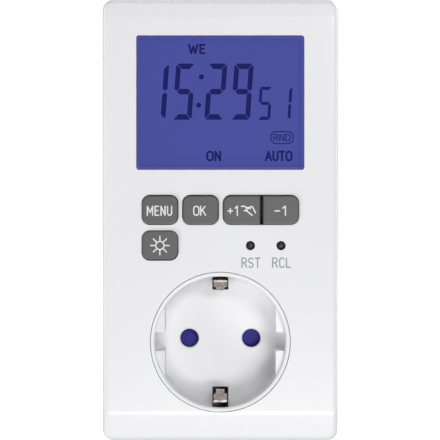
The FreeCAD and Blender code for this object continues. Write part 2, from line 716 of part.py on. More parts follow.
def screw(name, place, seat, size, length, towards_wall):
    """A pan-headed screw whose head sits at a depth and whose shank runs from there."""
    head_radius, head_height, radius = size
    x, z = place
    tip = f"({seat}) + ({length})" if towards_wall else f"({seat}) - ({length})"
    top = f"({seat}) - ({head_height})" if towards_wall else f"({seat}) + ({head_height})"
    slot = f"({top}) + slot_depth" if towards_wall else f"({top}) - slot_depth"
    shank = (seat, tip) if towards_wall else (tip, seat)
    head = (top, seat) if towards_wall else (seat, top)
    groove = (top, slot) if towards_wall else (slot, top)
    body = join(name + "_body", [
        rod(name + "_head", head_radius, x, head, z),
        rod(name + "_shank", radius, x, shank, z),
    ])
    wide = (f"({x}) - slot_length / 2", f"({x}) + slot_length / 2")
    thin = (f"({x}) - slot_width / 2", f"({x}) + slot_width / 2")
    tall = (f"({z}) - slot_length / 2", f"({z}) + slot_length / 2")
    low = (f"({z}) - slot_width / 2", f"({z}) + slot_width / 2")
    slots = [block(name + "_slot_across", wide, groove, low), block(name + "_slot_up", thin, groove, tall)]
    return cut(name, body, slots)


CASE_SCREW = ("case_head_radius", "case_head_height", "case_screw_radius")
SMALL_SCREW = ("small_head_radius", "small_head_height", "small_screw_radius")
CASE_SCREW_PLACES = [
    (CASE_SCREW_X, SCREW_TOP),
    (f"-{CASE_SCREW_X}", SCREW_TOP),
    (CASE_SCREW_X, SCREW_BOTTOM),
    (f"-{CASE_SCREW_X}", SCREW_BOTTOM),
]
BOARD_SCREW_PLACES = [
    ("board_screw_top_x", BOARD_SCREW_TOP),
    ("-board_screw_top_x", BOARD_SCREW_TOP),
    (BOARD_SCREW_X, f"{BOARD_BOTTOM} + board_screw_inset"),
    (f"-{BOARD_SCREW_X}", f"{BOARD_BOTTOM} + board_screw_inset"),
]
POWER_SCREW_PLACES = [
    (POWER_SCREW_X, f"{POWER_TOP} - power_screw_inset"),
    (f"-{POWER_SCREW_X}", f"{POWER_TOP} - power_screw_inset"),
    (POWER_SCREW_X, f"{POWER_BOTTOM} + power_screw_inset"),
    (f"-{POWER_SCREW_X}", f"{POWER_BOTTOM} + power_screw_inset"),
]
EAR_PLACES = [(EAR_SCREW_X, "0"), (f"-{EAR_SCREW_X}", "0")]
POST_PLACES = [("insert_post_x", "-insert_post_z"), ("-insert_post_x", "insert_post_z")]
STAKE_PLACES = [
    (f"{x}(plug_radius + plug_flange / 2) * sqrt(0.5)", f"{z}(plug_radius + plug_flange / 2) * sqrt(0.5)")
    for x in ("", "-") for z in ("", "-")
]
CLAMP_PLACES = [("0", "clamp_screw_z"), ("0", "-clamp_screw_z")]


def screw_set(label, rows):
    """Identical screws under one name. Each row has its places, the seat and the way that they point."""
    made = []
    for size, length, places, seat, towards_wall in rows:
        for place in places:
            name = f"{label}_{len(made) + 1}"
            made.append(screw(name, place, seat, size, length, towards_wall))
    keep(group(label, made), label)


def circles(body, name, depth, places, radius):
    sketch = front_sketch(body, name, depth)
    for place in places:
        draw_circle(sketch, place, radius)
    return sketch


# Keys: each has its name, its limits across, its row and which of its sides are rounded

KEYS = [
    ("menu", MENU_LEFT, MENU_RIGHT, f"({KEY_ROW} - key_settle)", (True, True)),
    ("confirm", CONFIRM_LEFT, CONFIRM_RIGHT, f"({KEY_ROW} - key_settle)", (True, True)),
    ("plus", PLUS_LEFT, PLUS_RIGHT, f"({KEY_ROW} - key_settle)", (True, False)),
    ("minus", MINUS_LEFT, MINUS_RIGHT, f"({KEY_ROW} - key_settle)", (False, True)),
    ("light", MENU_LEFT, MENU_RIGHT, f"({LOW_ROW} + key_settle)", (True, True)),
]
SMALL_KEYS = [("reset", RESET_X), ("recall", RECALL_X)]
KEY_OPENINGS = [
    ("menu", MENU_LEFT, MENU_RIGHT, KEY_ROW),
    ("confirm", CONFIRM_LEFT, CONFIRM_RIGHT, KEY_ROW),
    ("pair", PLUS_LEFT, MINUS_RIGHT, KEY_ROW),
    ("light", MENU_LEFT, MENU_RIGHT, LOW_ROW),
]


def make_key(name, left, right, row, rounded):
    body = new_body(f"{name}_key_body")
    low, high = f"{row} - key_height / 2", f"{row} + key_height / 2"
    top = front_sketch(body, f"{name}_key_top", "-key_proud")
    draw_rectangle(top, (left, right), (low, high))
    pad(body, f"{name}_key_cap", top, "key_proud + front_wall + key_play")
    sides = [value(side) for side, wanted in zip((left, right), rounded) if wanted]
    round_edges(
        body, f"{name}_key_corners", "key_corner",
        lambda edge, box: along_depth(edge, box) and any(near(box.XMin, side) for side in sides),
    )
    surface = value(at_depth("-key_proud"))
    round_edges(
        body, f"{name}_key_edge", "key_edge",
        lambda edge, box: at_level(box, surface),
    )
    reach = [
        f"({left}) - key_flange" if rounded[0] else left,
        f"({right}) + key_flange" if rounded[1] else right,
    ]
    flange = front_sketch(body, f"{name}_key_flange_outline", "front_wall + key_play")
    draw_rectangle(flange, reach, (f"{low} - key_flange", f"{high} + key_flange"))
    pad(body, f"{name}_key_flange", flange, "key_flange_thick")
    middle = f"(({left}) + ({right})) / 2"
    stem = circles(body, f"{name}_key_stem_outline", KEY_BACK, [(middle, row)], "key_stem")
    pad(body, f"{name}_key_stem", stem, f"{DOME_FRONT} - {KEY_BACK}")
    keep(body, f"{name}_key")
    return middle


def make_small_key(name, middle):
    body = new_body(f"{name}_key_body")
    place = [(middle, LOW_ROW)]
    tip = circles(body, f"{name}_key_tip_outline", "small_key_sink", place, "small_key_radius")
    pad(body, f"{name}_key_tip", tip, "front_wall + key_play - small_key_sink")
    surface = value(at_depth("small_key_sink"))
    round_edges(body, f"{name}_key_dome", "small_key_round", lambda edge, box: at_level(box, surface))
    flange = circles(
        body, f"{name}_key_flange_outline", "front_wall + key_play", place, "small_key_flange"
    )
    pad(body, f"{name}_key_flange", flange, "key_flange_thick")
    stem = circles(body, f"{name}_key_stem_outline", KEY_BACK, place, "key_stem")
    pad(body, f"{name}_key_stem", stem, f"{DOME_FRONT} - {KEY_BACK}")
    keep(body, f"{name}_key")


def make_dome(name, middle, row):
    """A hollow rubber dome with a contact pill, between a key's stem and the control board."""
    body = new_body(f"{name}_dome_body")
    sketch = side_sketch(body, f"{name}_dome_outline")
    foot, head = at_depth("board_depth"), at_depth(DOME_FRONT)
    shoulder = f"{foot} - dome_foot_thick"
    neck = f"{head} + dome_head"
    draw_outline(sketch, [
        (head, "0"),
        (head, "dome_neck"),
        (neck, "dome_neck"),
        (shoulder, "dome_foot - dome_skin"),
        (shoulder, "dome_foot"),
        (foot, "dome_foot"),
        (foot, "dome_foot - 2 * dome_skin"),
        (shoulder, "dome_foot - 2 * dome_skin"),
        (neck, "dome_neck - dome_skin / 2"),
        (neck, "dome_pill"),
        (f"{foot} - key_travel", "dome_pill"),
        (f"{foot} - key_travel", "0"),
    ])
    turned(body, f"{name}_dome_turn", sketch)
    bind(body, "Placement.Base.x", middle)
    bind(body, "Placement.Base.z", row)
    keep(body, f"{name}_dome")


# Front cover


def make_front_cover():
    body = new_body("front_cover_body")
    side = side_sketch(body, "cover_side")
    seam = at_depth("cover_depth")
    draw_outline(side, [
        (FRONT, "-case_bottom + bottom_slope"),
        (FRONT, f"{CASE_TOP} - top_slope"),
        (f"{FRONT} + top_drop", CASE_TOP),
        (seam, CASE_TOP),
        (seam, "-case_bottom"),
        (f"{FRONT} + bottom_drop", "-case_bottom"),
    ])
    both_ways(body, "cover_blank", side, CASE_WIDTH)
    front, rear = value(FRONT), value(seam)
    round_edges(
        body, "cover_corners", "case_corner",
        lambda edge, box: along_depth(edge, box) and near(box.YMax, rear),
    )
    round_edges(
        body, "cover_creases", "crease_radius",
        lambda edge, box: at_level(box, front) and box.ZLength < 1e-6,
    )
    half_width = value(CASE_WIDTH) / 2
    corner_start = half_width - value("case_corner")
    top = value(CASE_TOP)
    bottom = -value("case_bottom")

    def round_the_front(edge, box):
        if box.YMax > rear - 1e-3:
            return False
        if near(box.ZMin, top) or near(box.ZMax, bottom):
            return True
        if box.XLength > half_width or along_depth(edge, box):
            return False
        inner, outer = sorted((abs(box.XMin), abs(box.XMax)))
        return outer > half_width - 1e-3 and inner > corner_start - 1e-3

    round_edges(body, "cover_edge", "front_edge", round_the_front)
    hollow = front_sketch(body, "cover_hollow_outline", "cover_depth")
    draw_rectangle(
        hollow,
        (f"-{INSIDE_X}", INSIDE_X),
        ("-case_bottom + side_wall", f"{CASE_TOP} - side_wall"),
    )
    pocket(body, "cover_hollow", hollow, "cover_depth - front_wall", towards_wall=False)
    bosses = [
        ("case_screw", CASE_SCREW_PLACES, "cover_boss_radius", "cover_depth"),
        ("board_screw", BOARD_SCREW_PLACES, "board_boss_radius", "board_depth"),
        ("ear_screw", EAR_PLACES, "ear_boss_radius", "ear_depth"),
    ]
    for name, places, radius, top in bosses:
        outline = circles(body, f"{name}_boss_outline", "front_wall", places, radius)
        pad(body, f"{name}_bosses", outline, f"{top} - front_wall")
    case_tip = "case_head_seat - case_screw_length - hole_bottom"
    board_tip = f"{BOARD_BACK} - board_screw_length - hole_bottom"
    ear_tip = "ear_depth + ear_thick - small_screw_length - hole_bottom"
    holes = [
        ("case_screw", CASE_SCREW_PLACES, "case_screw_radius", "cover_depth", case_tip),
        ("board_screw", BOARD_SCREW_PLACES, "small_screw_radius", "board_depth", board_tip),
        ("ear_screw", EAR_PLACES, "small_screw_radius", "ear_depth", ear_tip),
    ]
    for name, places, radius, top, tip in holes:
        outline = circles(body, f"{name}_hole_outline", top, places, f"{radius} + thread_gap")
        pocket(body, f"{name}_holes", outline, f"{top} - ({tip})", towards_wall=False)
    socket = circles(body, "socket_hole_outline", "0", [("0", "0")], f"{RING} + insert_gap")
    pocket(body, "socket_hole", socket, "front_wall + 1")
    window = front_sketch(body, "window_outline", "0")
    draw_rounded(
        window, ("-window_width / 2", "window_width / 2"),
        (WINDOW_BOTTOM, WINDOW_TOP), "window_corner",
    )
    pocket(body, "window_opening", window, "front_wall + 1")
    for name, left, right, row in KEY_OPENINGS:
        opening = front_sketch(body, f"{name}_opening_outline", "0")
        draw_rounded(
            opening,
            (f"{left} - key_gap", f"{right} + key_gap"),
            (f"{row} - key_height / 2 - key_gap", f"{row} + key_height / 2 + key_gap"),
            "key_corner + key_gap",
        )
        pocket(body, f"{name}_opening", opening, "front_wall + 1")
    places = [(middle, LOW_ROW) for name, middle in SMALL_KEYS]
    pinholes = circles(body, "pinhole_outline", "0", places, "pinhole_radius")
    pocket(body, "pinholes", pinholes, "front_wall + 1")
    round_edges(
        body, "pinhole_edges", "pinhole_edge",
        lambda edge, box: at_level(box, front) and near(box.XLength, 2 * value("pinhole_radius")),
    )
    keep(body, "front_cover")


# Rear shell


def cut_case_holes(body):
    """The holes for the case screws and the power board's screws, and the bare label field."""
    screws = circles(
        body, "case_hole_outline", "cover_depth - tongue_height", CASE_SCREW_PLACES,
        "case_screw_radius + shank_gap",
    )
    pocket(body, "case_holes", screws, "case_depth")
    heads = circles(
        body, "head_recess_outline", "case_head_seat", CASE_SCREW_PLACES, "case_head_radius + head_gap"
    )
    pocket(body, "head_recesses", heads, "case_depth")
    power_tip = f"{POWER_FRONT} + board_screw_length + hole_bottom"
    power_holes = circles(
        body, "power_hole_outline", POWER_BACK, POWER_SCREW_PLACES, "small_screw_radius + thread_gap"
    )
    pocket(body, "power_holes", power_holes, f"{power_tip} - {POWER_BACK}")
    label = front_sketch(body, "label_outline", "case_depth - label_sink")
    draw_rounded(
        label, ("-label_width / 2", "label_width / 2"),
        ("label_middle - label_height / 2", "label_middle + label_height / 2"), "case_corner / 2",
    )
    pocket(body, "label_field", label, "label_sink + 1")


def make_rear_shell():
    body = new_body("rear_shell_body")
    outline = front_sketch(body, "shell_outline", "cover_depth")
    draw_rounded(
        outline, (f"-{CASE_WIDTH} / 2", f"{CASE_WIDTH} / 2"), ("-case_bottom", CASE_TOP), "case_corner"
    )
    pad(body, "shell_blank", outline, "case_depth - cover_depth")
    rear = value(REAR)
    round_edges(body, "shell_edge", "rear_edge", lambda edge, box: at_level(box, rear))
    tongue = front_sketch(body, "tongue_outline", "cover_depth - tongue_height")
    draw_rectangle(
        tongue,
        (f"-{INSIDE_X} + tongue_gap", f"{INSIDE_X} - tongue_gap"),
        ("-case_bottom + side_wall + tongue_gap", f"{CASE_TOP} - side_wall - tongue_gap"),
    )
    pad(body, "tongue", tongue, "tongue_height")
    hollow = front_sketch(body, "shell_hollow_outline", "cover_depth - tongue_height")
    inset = "side_wall + tongue_gap + tongue_wall"
    draw_rectangle(
        hollow,
        (f"-{CASE_WIDTH} / 2 + {inset}", f"{CASE_WIDTH} / 2 - ({inset})"),
        (f"-case_bottom + {inset}", f"{CASE_TOP} - ({inset})"),
    )
    pocket(body, "shell_hollow", hollow, f"{SHELL_INSIDE} - cover_depth + tongue_height")
    relief = front_sketch(body, "boss_relief_outline", "cover_depth - tongue_height")
    for x, z in CASE_SCREW_PLACES:
        draw_circle(relief, (x, z), "cover_boss_radius + tongue_gap")
    pocket(body, "boss_relief", relief, "tongue_height")
    tubes = circles(body, "tube_outline", "cover_depth", CASE_SCREW_PLACES, "shell_tube_radius")
    pad(body, "screw_tubes", tubes, f"{SHELL_INSIDE} - cover_depth")
    board = circles(body, "power_boss_outline", POWER_BACK, POWER_SCREW_PLACES, "power_boss_radius")
    pad(body, "power_bosses", board, f"{SHELL_INSIDE} - {POWER_BACK}")
    stake_posts = circles(body, "stake_outline", STAKE_FRONT, STAKE_PLACES, "stake_radius")
    pad(body, "stakes", stake_posts, f"{SHELL_INSIDE} - {STAKE_FRONT}")
    heads = circles(
        body, "stake_head_outline", f"{STAKE_FRONT} - stake_head", STAKE_PLACES, "stake_head_radius"
    )
    pad(body, "stake_heads", heads, "stake_head")
    hole = circles(body, "plug_hole_outline", SHELL_INSIDE, [("0", "0")], "plug_radius + plug_gap")
    pocket(body, "plug_hole", hole, "rear_wall + 1")
    cut_case_holes(body)
    keep(body, "rear_shell")


# Plug body, staked into the rear shell


def make_plug_body():
    body = new_body("plug_body_body")
    plug = circles(body, "plug_outline", SHELL_INSIDE, [("0", "0")], "plug_radius")
    pad(body, "plug_round", plug, "rear_wall + plug_depth")
    flange = circles(body, "plug_flange_outline", STAKE_FRONT, [("0", "0")], "plug_radius + plug_flange")
    pad(body, "plug_flange", flange, "plug_flange_thick")
    holes = circles(body, "stake_hole_outline", STAKE_FRONT, STAKE_PLACES, "stake_radius + thread_gap")
    pocket(body, "stake_holes", holes, "plug_flange_thick")
    round_edges(body, "plug_edge", "plug_round", lambda edge, box: at_level(box, 0.0))
    flats = front_sketch(body, "plug_flat_outline", "case_depth")
    for side in ("", "-"):
        for level in ("", "-"):
            draw_outline(flats, [
                (f"{side}{PLUG_FLAT}", f"{level}plug_rib / 2"),
                (f"{side}(plug_radius + 1)", f"{level}plug_rib / 2"),
                (f"{side}(plug_radius + 1)", f"{level}(plug_radius)"),
                (f"{side}{PLUG_FLAT}", f"{level}(plug_radius)"),
            ])
    pocket(body, "plug_flats", flats, "plug_depth")
    bore = front_sketch(body, "plug_bore_outline", STAKE_FRONT)
    draw_flatted_circle(bore, PLUG_BORE, PLUG_BORE_FLAT)
    pocket(body, "plug_hollow", bore, f"{END_INSIDE} - {STAKE_FRONT}")
    posts = circles(body, "clamp_post_outline", CLAMP_BACK, CLAMP_PLACES, "clamp_post_radius")
    pad(body, "clamp_posts", posts, "pin_collar")
    pins = circles(
        body, "pin_hole_outline", END_INSIDE, [(PIN_X, "0"), (f"-{PIN_X}", "0")],
        "pin_seat_radius + pin_gap",
    )
    pocket(body, "pin_holes", pins, "plug_end_wall + 1")
    clamp_tip = f"{CLAMP_FRONT} + small_screw_length + hole_bottom"
    clamp_holes = circles(
        body, "clamp_hole_outline", CLAMP_BACK, CLAMP_PLACES, "small_screw_radius + thread_gap"
    )
    pocket(body, "clamp_holes", clamp_holes, f"{clamp_tip} - ({CLAMP_BACK})")
    for side in ("", "-"):
        groove = front_sketch(body, f"strip_groove_outline{side}", BAR_DEPTH)
        inner = f"{STRIP_FACE} - strip_thick"
        draw_rectangle(
            groove,
            ("-strip_half_width - strip_gap", "strip_half_width + strip_gap"),
            tuple(sorted((f"{side}({inner})", f"{side}(plug_radius + 1)"), key=value)),
        )
        pocket(
            body, f"strip_groove{side}", groove, "plug_depth - strip_end + strip_gap - strip_bar"
        )
        slot = front_sketch(body, f"strip_slot_outline{side}", BAR_DEPTH)
        draw_rectangle(
            slot,
            ("-strap_half_width - strip_gap", "strap_half_width + strip_gap"),
            tuple(sorted((f"{side}({PLUG_BORE} - 1)", f"{side}(plug_radius + 1)"), key=value)),
        )
        pocket(body, f"strip_slot{side}", slot, "strip_thick")
    keep(body, "plug_body")


# Socket insert: the round recess that a plug goes into


def make_socket_insert():
    body = new_body("socket_insert_body")
    outline = circles(body, "insert_outline", "0", [("0", "0")], RING)
    pad(body, "insert_blank", outline, FLOOR_BACK)
    flange = circles(
        body, "insert_flange_outline", "front_wall", [("0", "0")], f"{RING} + flange_width"
    )
    pad(body, "insert_flange", flange, "flange_thick")
    arms = front_sketch(body, "insert_arm_outline", "ear_depth")
    for side in ("", "-"):
        near_end, far_end = f"{side}(socket_radius)", f"{side}{EAR_SCREW_X}"
        x = tuple(sorted((near_end, far_end), key=value))
        draw_rectangle(arms, x, ("-ear_radius", "ear_radius"))
    pad(body, "insert_arms", arms, "ear_thick")
    ears = circles(body, "insert_ear_outline", "ear_depth", EAR_PLACES, "ear_radius")
    pad(body, "insert_ears", ears, "ear_thick")
    posts = circles(body, "insert_post_outline", FLOOR_BACK, POST_PLACES, "insert_post_radius")
    pad(body, "insert_posts", posts, "shutter_space")
    recess = circles(body, "recess_outline", "0", [("0", "0")], "socket_radius")
    pocket(body, "recess", recess, "socket_depth")
    floor = value(at_depth("socket_depth"))
    round_edges(
        body, "recess_fillet", "floor_fillet",
        lambda edge, box: at_level(box, floor) and near(box.XLength, 2 * value("socket_radius")),
    )
    ledges = front_sketch(body, "ledge_outline", "ledge_depth")
    mid_wall = "(socket_radius + socket_wall / 2)"
    for side in ("", "-"):
        for level in ("", "-"):
            draw_outline(ledges, [
                (f"{side}{LEDGE_FLAT}", f"{level}notch_width / 2"),
                (f"{side}sqrt({mid_wall} ^ 2 - (notch_width / 2) ^ 2)", f"{level}notch_width / 2"),
                (f"{side}{LEDGE_FLAT}", f"{level}sqrt({mid_wall} ^ 2 - {LEDGE_FLAT} ^ 2)"),
            ])
    pad(body, "ledges", ledges, "socket_depth - ledge_depth + socket_floor / 2")
    front = value(FRONT)
    round_edges(
        body, "rim_inner_edge", "rim_round",
        lambda edge, box: at_level(box, front) and near(box.XLength, 2 * value("socket_radius")),
    )
    round_edges(
        body, "rim_outer_edge", "rim_edge",
        lambda edge, box: at_level(box, front)
        and near(box.XLength, 2 * value(RING)),
    )
    places = [(PIN_X, "0"), (f"-{PIN_X}", "0")]
    holes = circles(body, "pin_hole_outline", "socket_depth", places, "hole_radius")
    pocket(body, "pin_holes", holes, "socket_floor")
    bevel_edges(
        body, "pin_hole_mouths", "hole_chamfer",
        lambda edge, box: at_level(box, floor) and near(box.XLength, 2 * value("hole_radius")),
    )
    slots = front_sketch(body, "clip_slot_outline", "slot_front")
    for side in ("", "-"):
        ends = (f"{side}{SLOT_INNER}", f"{side}({RING} + slot_reach)")
        draw_rectangle(
            slots, ("-slot_half_width", "slot_half_width"), tuple(sorted(ends, key=value))
        )
    pocket(body, "clip_slots", slots, f"{FLOOR_BACK} - slot_front")
    ear_holes = circles(
        body, "ear_hole_outline", "ear_depth", EAR_PLACES, "small_screw_radius + shank_gap"
    )
    pocket(body, "ear_holes", ear_holes, "ear_thick")
    post_holes = circles(
        body, "post_hole_outline", CARRIER_FRONT, POST_PLACES, "small_screw_radius + thread_gap"
    )
    depth = "small_screw_length - carrier_plate + hole_bottom"
    pocket(body, "post_holes", post_holes, depth, towards_wall=False)
    keep(body, "socket_insert")


# Shutter, its spring and the carrier that it turns on

SHUTTER_FRONT = f"({FLOOR_BACK} + shutter_gap)"
SHUTTER_BACK = f"({CARRIER_FRONT} - shutter_gap)"


def make_shutter():
    depth = (SHUTTER_FRONT, SHUTTER_BACK)
    parts = [
        rod("shutter_hub_disc", "shutter_hub", "0", depth, "0"),
        block("shutter_bar", (f"-{PIN_X}", PIN_X), depth, ("-shutter_arm", "shutter_arm")),
        rod("shutter_right_pad", "shutter_pad", PIN_X, depth, "0"),
        rod("shutter_left_pad", "shutter_pad", f"-{PIN_X}", depth, "0"),
    ]
    bore = rod("shutter_bore", "pivot_radius + pivot_gap", "0", depth, "0")
    well = rod(
        "shutter_spring_well", "spring_well_radius", "0",
        (f"{SHUTTER_BACK} - spring_well", SHUTTER_BACK), "0",
    )
    ramps = []
    for name, turn in (("right", 0), ("left", 180)):
        wedge = doc.addObject("Part::Wedge", f"shutter_{name}_ramp")
        fields = {
            "Xmin": "0", "Ymin": "0", "Zmin": "0", "X2min": "0", "Z2min": "0",
            "Xmax": "2 * shutter_pad + 2",
            "Zmax": "2 * shutter_pad",
            "Ymax": "shutter_ramp",
            "X2max": "2 * shutter_pad + 2",
            "Z2max": "0",
        }
        for field, expression in fields.items():
            bind(wedge, field, expression)
        wedge.Placement = FreeCAD.Placement(
            FreeCAD.Vector(), FreeCAD.Rotation(FreeCAD.Vector(0, 1, 0), turn)
        )
        flip = "-" if turn else ""
        bind(wedge, "Placement.Base.x", f"{flip}({PIN_X} - shutter_pad)")
        bind(wedge, "Placement.Base.y", at_depth(SHUTTER_FRONT))
        bind(wedge, "Placement.Base.z", f"{flip}(-shutter_pad)")
        ramps.append(wedge)
    keep(cut("shutter", join("shutter_blank", parts), [bore, well, *ramps]), "shutter")


def make_shutter_spring():
    """A flat torsion coil round the pivot, in the shutter's well."""
    wire, coil, pitch = value("spring_wire"), value("spring_coil"), value("spring_pitch")
    height = pitch * value("spring_turns")
    helix = Part.makeHelix(pitch, height, coil)
    circle = Part.Wire(Part.makeCircle(wire, FreeCAD.Vector(coil, 0, 0), FreeCAD.Vector(0, 1, 0)))
    solid = Part.Wire(helix).makePipeShell([circle], True, True)
    made = doc.addObject("Part::Feature", "shutter_spring")
    made.Shape = solid
    made.Placement = FreeCAD.Placement(
        FreeCAD.Vector(0, value(at_depth(f"{CARRIER_FRONT} - spring_wire")), 0),
        FreeCAD.Rotation(FreeCAD.Vector(1, 0, 0), 90),
    )
    keep(made, "shutter_spring")


def make_contact_carrier():
    plate = (CARRIER_FRONT, CARRIER_BACK)
    parts = [
        rod("carrier_disc", CARRIER_RADIUS, "0", plate, "0"),
        rod("carrier_pivot", "pivot_radius", "0", (SHUTTER_FRONT, CARRIER_FRONT), "0"),
    ]
    tools = []
    low, high = "-tower_half_height", "tower_half_height"
    for name, x in (("right", PIN_X), ("left", f"-{PIN_X}")):
        sides = (f"{x} - tower_half_width", f"{x} + tower_half_width")
        parts.append(block(f"carrier_{name}_tower", sides, (CARRIER_BACK, "case_depth"), (low, high)))
        inner = (f"{x} - tower_half_width + tower_wall", f"{x} + tower_half_width - tower_wall")
        tall = (f"{low} + tower_wall", f"{high} - tower_wall")
        tools.append(block(f"carrier_{name}_pocket", inner, (CARRIER_BACK, "case_depth"), tall))
        tools.append(rod(f"carrier_{name}_passage", "carrier_hole", x, plate, "0"))
    for name, side in (("top", ""), ("bottom", "-")):
        ends = (f"{side}({CLIP_ROOT} - clip_thick - clip_slot_gap)", f"{side}({CARRIER_RADIUS} + 1)")
        wide = ("-clip_half_width - clip_slot_gap", "clip_half_width + clip_slot_gap")
        tools.append(block(f"carrier_{name}_slot", wide, plate, tuple(sorted(ends, key=value))))
    for i, (x, z) in enumerate(POST_PLACES, 1):
        tools.append(rod(f"carrier_hole_{i}", "small_screw_radius + shank_gap", x, plate, z))
    keep(cut("contact_carrier", join("carrier_blank", parts), tools), "contact_carrier")


# Brass contacts and leads


def make_contact(label, side, parts):
    """A pair of jaws on a base plate that closes the carrier's tower."""
    x = f"{side}{PIN_X}"
    base = ("case_depth", "case_depth + lead_thick")
    jaws = (f"{CARRIER_BACK} + jaw_front", "case_depth")
    tall = ("-jaw_half_height", "jaw_half_height")
    made = [
        block(
            f"{label}_base", (f"{x} - tower_half_width", f"{x} + tower_half_width"), base,
            ("-tower_half_height", "tower_half_height"),
        ),
        block(f"{label}_inner_jaw", (f"{x} - jaw_gap - lead_thick", f"{x} - jaw_gap"), jaws, tall),
        block(f"{label}_outer_jaw", (f"{x} + jaw_gap", f"{x} + jaw_gap + lead_thick"), jaws, tall),
    ]
    return keep(join(label, made + parts), label)


def make_leads():
    over = f"{POWER_BOTTOM} + lead_top"
    inner = ("lead_inner_left", "lead_inner_right")
    switched = [
        block(
            "switched_foot", inner, ("case_depth", "case_depth + lead_thick"),
            ("tower_half_height", "lead_low"),
        ),
        block(
            "switched_riser", inner, (POWER_BACK, "case_depth + lead_thick"),
            ("lead_low - lead_thick", "lead_low"),
        ),
        block(
            "switched_run", inner, (POWER_BACK, f"{POWER_BACK} + lead_thick"),
            ("lead_low - lead_thick", over),
        ),
    ]
    make_contact("live_contact", "", switched)
    make_contact("neutral_contact", "-", [])
    for label, side in (("live_lead", ""), ("neutral_lead", "-")):
        outer = tuple(sorted((f"{side}lead_outer_left", f"{side}lead_outer_right"), key=value))
        parts = [
            block(
                f"{label}_foot", outer, (f"{TAIL_FRONT} - lead_thick", TAIL_FRONT),
                ("-pin_tail_radius", "lead_high"),
            ),
            block(
                f"{label}_riser", outer, (POWER_BACK, TAIL_FRONT),
                ("lead_high - lead_thick", "lead_high"),
            ),
            block(
                f"{label}_run", outer, (POWER_BACK, f"{POWER_BACK} + lead_thick"),
                ("lead_high - lead_thick", over),
            ),
        ]
        if side:
            contact_face = "case_depth + lead_thick"
            parts.append(block(
                "neutral_lead_link", outer, (contact_face, TAIL_FRONT),
                ("-pin_tail_radius", "-pin_tail_radius + lead_thick"),
            ))
            parts.append(block(
                "neutral_lead_pad", outer, (contact_face, f"{contact_face} + lead_thick"),
                ("-tower_half_height", "-pin_tail_radius + lead_thick"),
            ))
        keep(join(label, parts), label)


def make_earth_clips():
    """One strap behind the contact carrier with a sprung clip at each end, drawn from the side."""
    body = new_body("earth_clips_body")
    sketch = side_sketch(body, "clip_outline")
    tip, belly = at_depth("clip_tip_depth"), at_depth("clip_belly_depth")
    root, plate = at_depth("socket_depth"), at_depth(CARRIER_BACK)
    back = f"{plate} + clip_thick"
    bulge = f"{CLIP_BELLY} + clip_thick"
    upper = [
        (back, CLIP_ROOT),
        (root, CLIP_ROOT),
        (f"{belly} + clip_crown", bulge),
        (f"{belly} - clip_crown", bulge),
        (tip, CLIP_TIP),
        (tip, f"{CLIP_TIP} - clip_thick"),
        (f"{belly} - clip_crown", CLIP_BELLY),
        (f"{belly} + clip_crown", CLIP_BELLY),
        (root, f"{CLIP_ROOT} - clip_thick"),
        (plate, f"{CLIP_ROOT} - clip_thick"),
    ]
    lower = [(y, f"-({z})") for y, z in reversed(upper)]
    draw_outline(sketch, upper + lower)
    both_ways(body, "clip_strap", sketch, "2 * clip_neck")
    blade_end = f"{tip} + clip_blade * ({belly} - clip_crown - ({tip}))"
    blade_face = f"{CLIP_TIP} + clip_blade * ({bulge} - {CLIP_TIP})"
    blade = [
        (blade_end, blade_face),
        (tip, CLIP_TIP),
        (tip, f"{CLIP_TIP} - clip_thick"),
        (blade_end, f"{blade_face} - clip_thick"),
    ]
    blades = side_sketch(body, "clip_blade_outline")
    for side in ("", "-"):
        draw_outline(blades, [(y, f"{side}({z})") for y, z in blade])
    both_ways(body, "clip_blades", blades, "2 * clip_half_width")
    bar = side_sketch(body, "clip_bar_outline")
    draw_outline(bar, [
        (back, CLIP_ROOT), (plate, CLIP_ROOT), (plate, f"-{CLIP_ROOT}"), (back, f"-{CLIP_ROOT}"),
    ])
    both_ways(body, "clip_bar", bar, "2 * clip_half_width")
    keep(body, "earth_clips")


def make_plug_earth_strap():
    bar = (BAR_DEPTH, f"{BAR_DEPTH} + strip_thick")
    narrow = ("-strap_half_width", "strap_half_width")
    parts = [
        block("earth_bar", narrow, bar, (f"-{STRIP_FACE}", STRIP_FACE)),
        block(
            "earth_riser", narrow, (f"{CARRIER_BACK} + clip_thick", BAR_DEPTH),
            ("-strip_thick / 2", "strip_thick / 2"),
        ),
    ]
    end = "case_depth + plug_depth - strip_end"
    for name, side in (("top", ""), ("bottom", "-")):
        z = tuple(sorted((f"{side}({STRIP_FACE} - strip_thick)", f"{side}{STRIP_FACE}"), key=value))
        parts.append(block(
            f"earth_{name}_strip", ("-strip_half_width", "strip_half_width"), (BAR_DEPTH, end), z
        ))
    keep(join("plug_earth_strap", parts), "plug_earth_strap")


def make_pin(label, side):
    body = new_body(f"{label}_body")
    sketch = side_sketch(body, f"{label}_outline")
    tip = "pin_length"
    draw_outline(sketch, [
        (at_depth(TAIL_FRONT), "0"),
        (at_depth(TAIL_FRONT), "pin_tail_radius"),
        (at_depth(CLAMP_BACK), "pin_tail_radius"),
        (at_depth(CLAMP_BACK), "pin_collar_radius"),
        (at_depth(END_INSIDE), "pin_collar_radius"),
        (at_depth(END_INSIDE), "pin_seat_radius"),
        ("0", "pin_seat_radius"),
        ("0", "pin_radius"),
        (tip, "pin_radius"),
        (tip, "0"),
    ])
    turned(body, f"{label}_turn", sketch)
    end = value(tip)
    round_edges(body, f"{label}_tip", "pin_tip", lambda edge, box: at_level(box, end))
    bind(body, "Placement.Base.x", f"{side}{PIN_X}")
    keep(body, label)


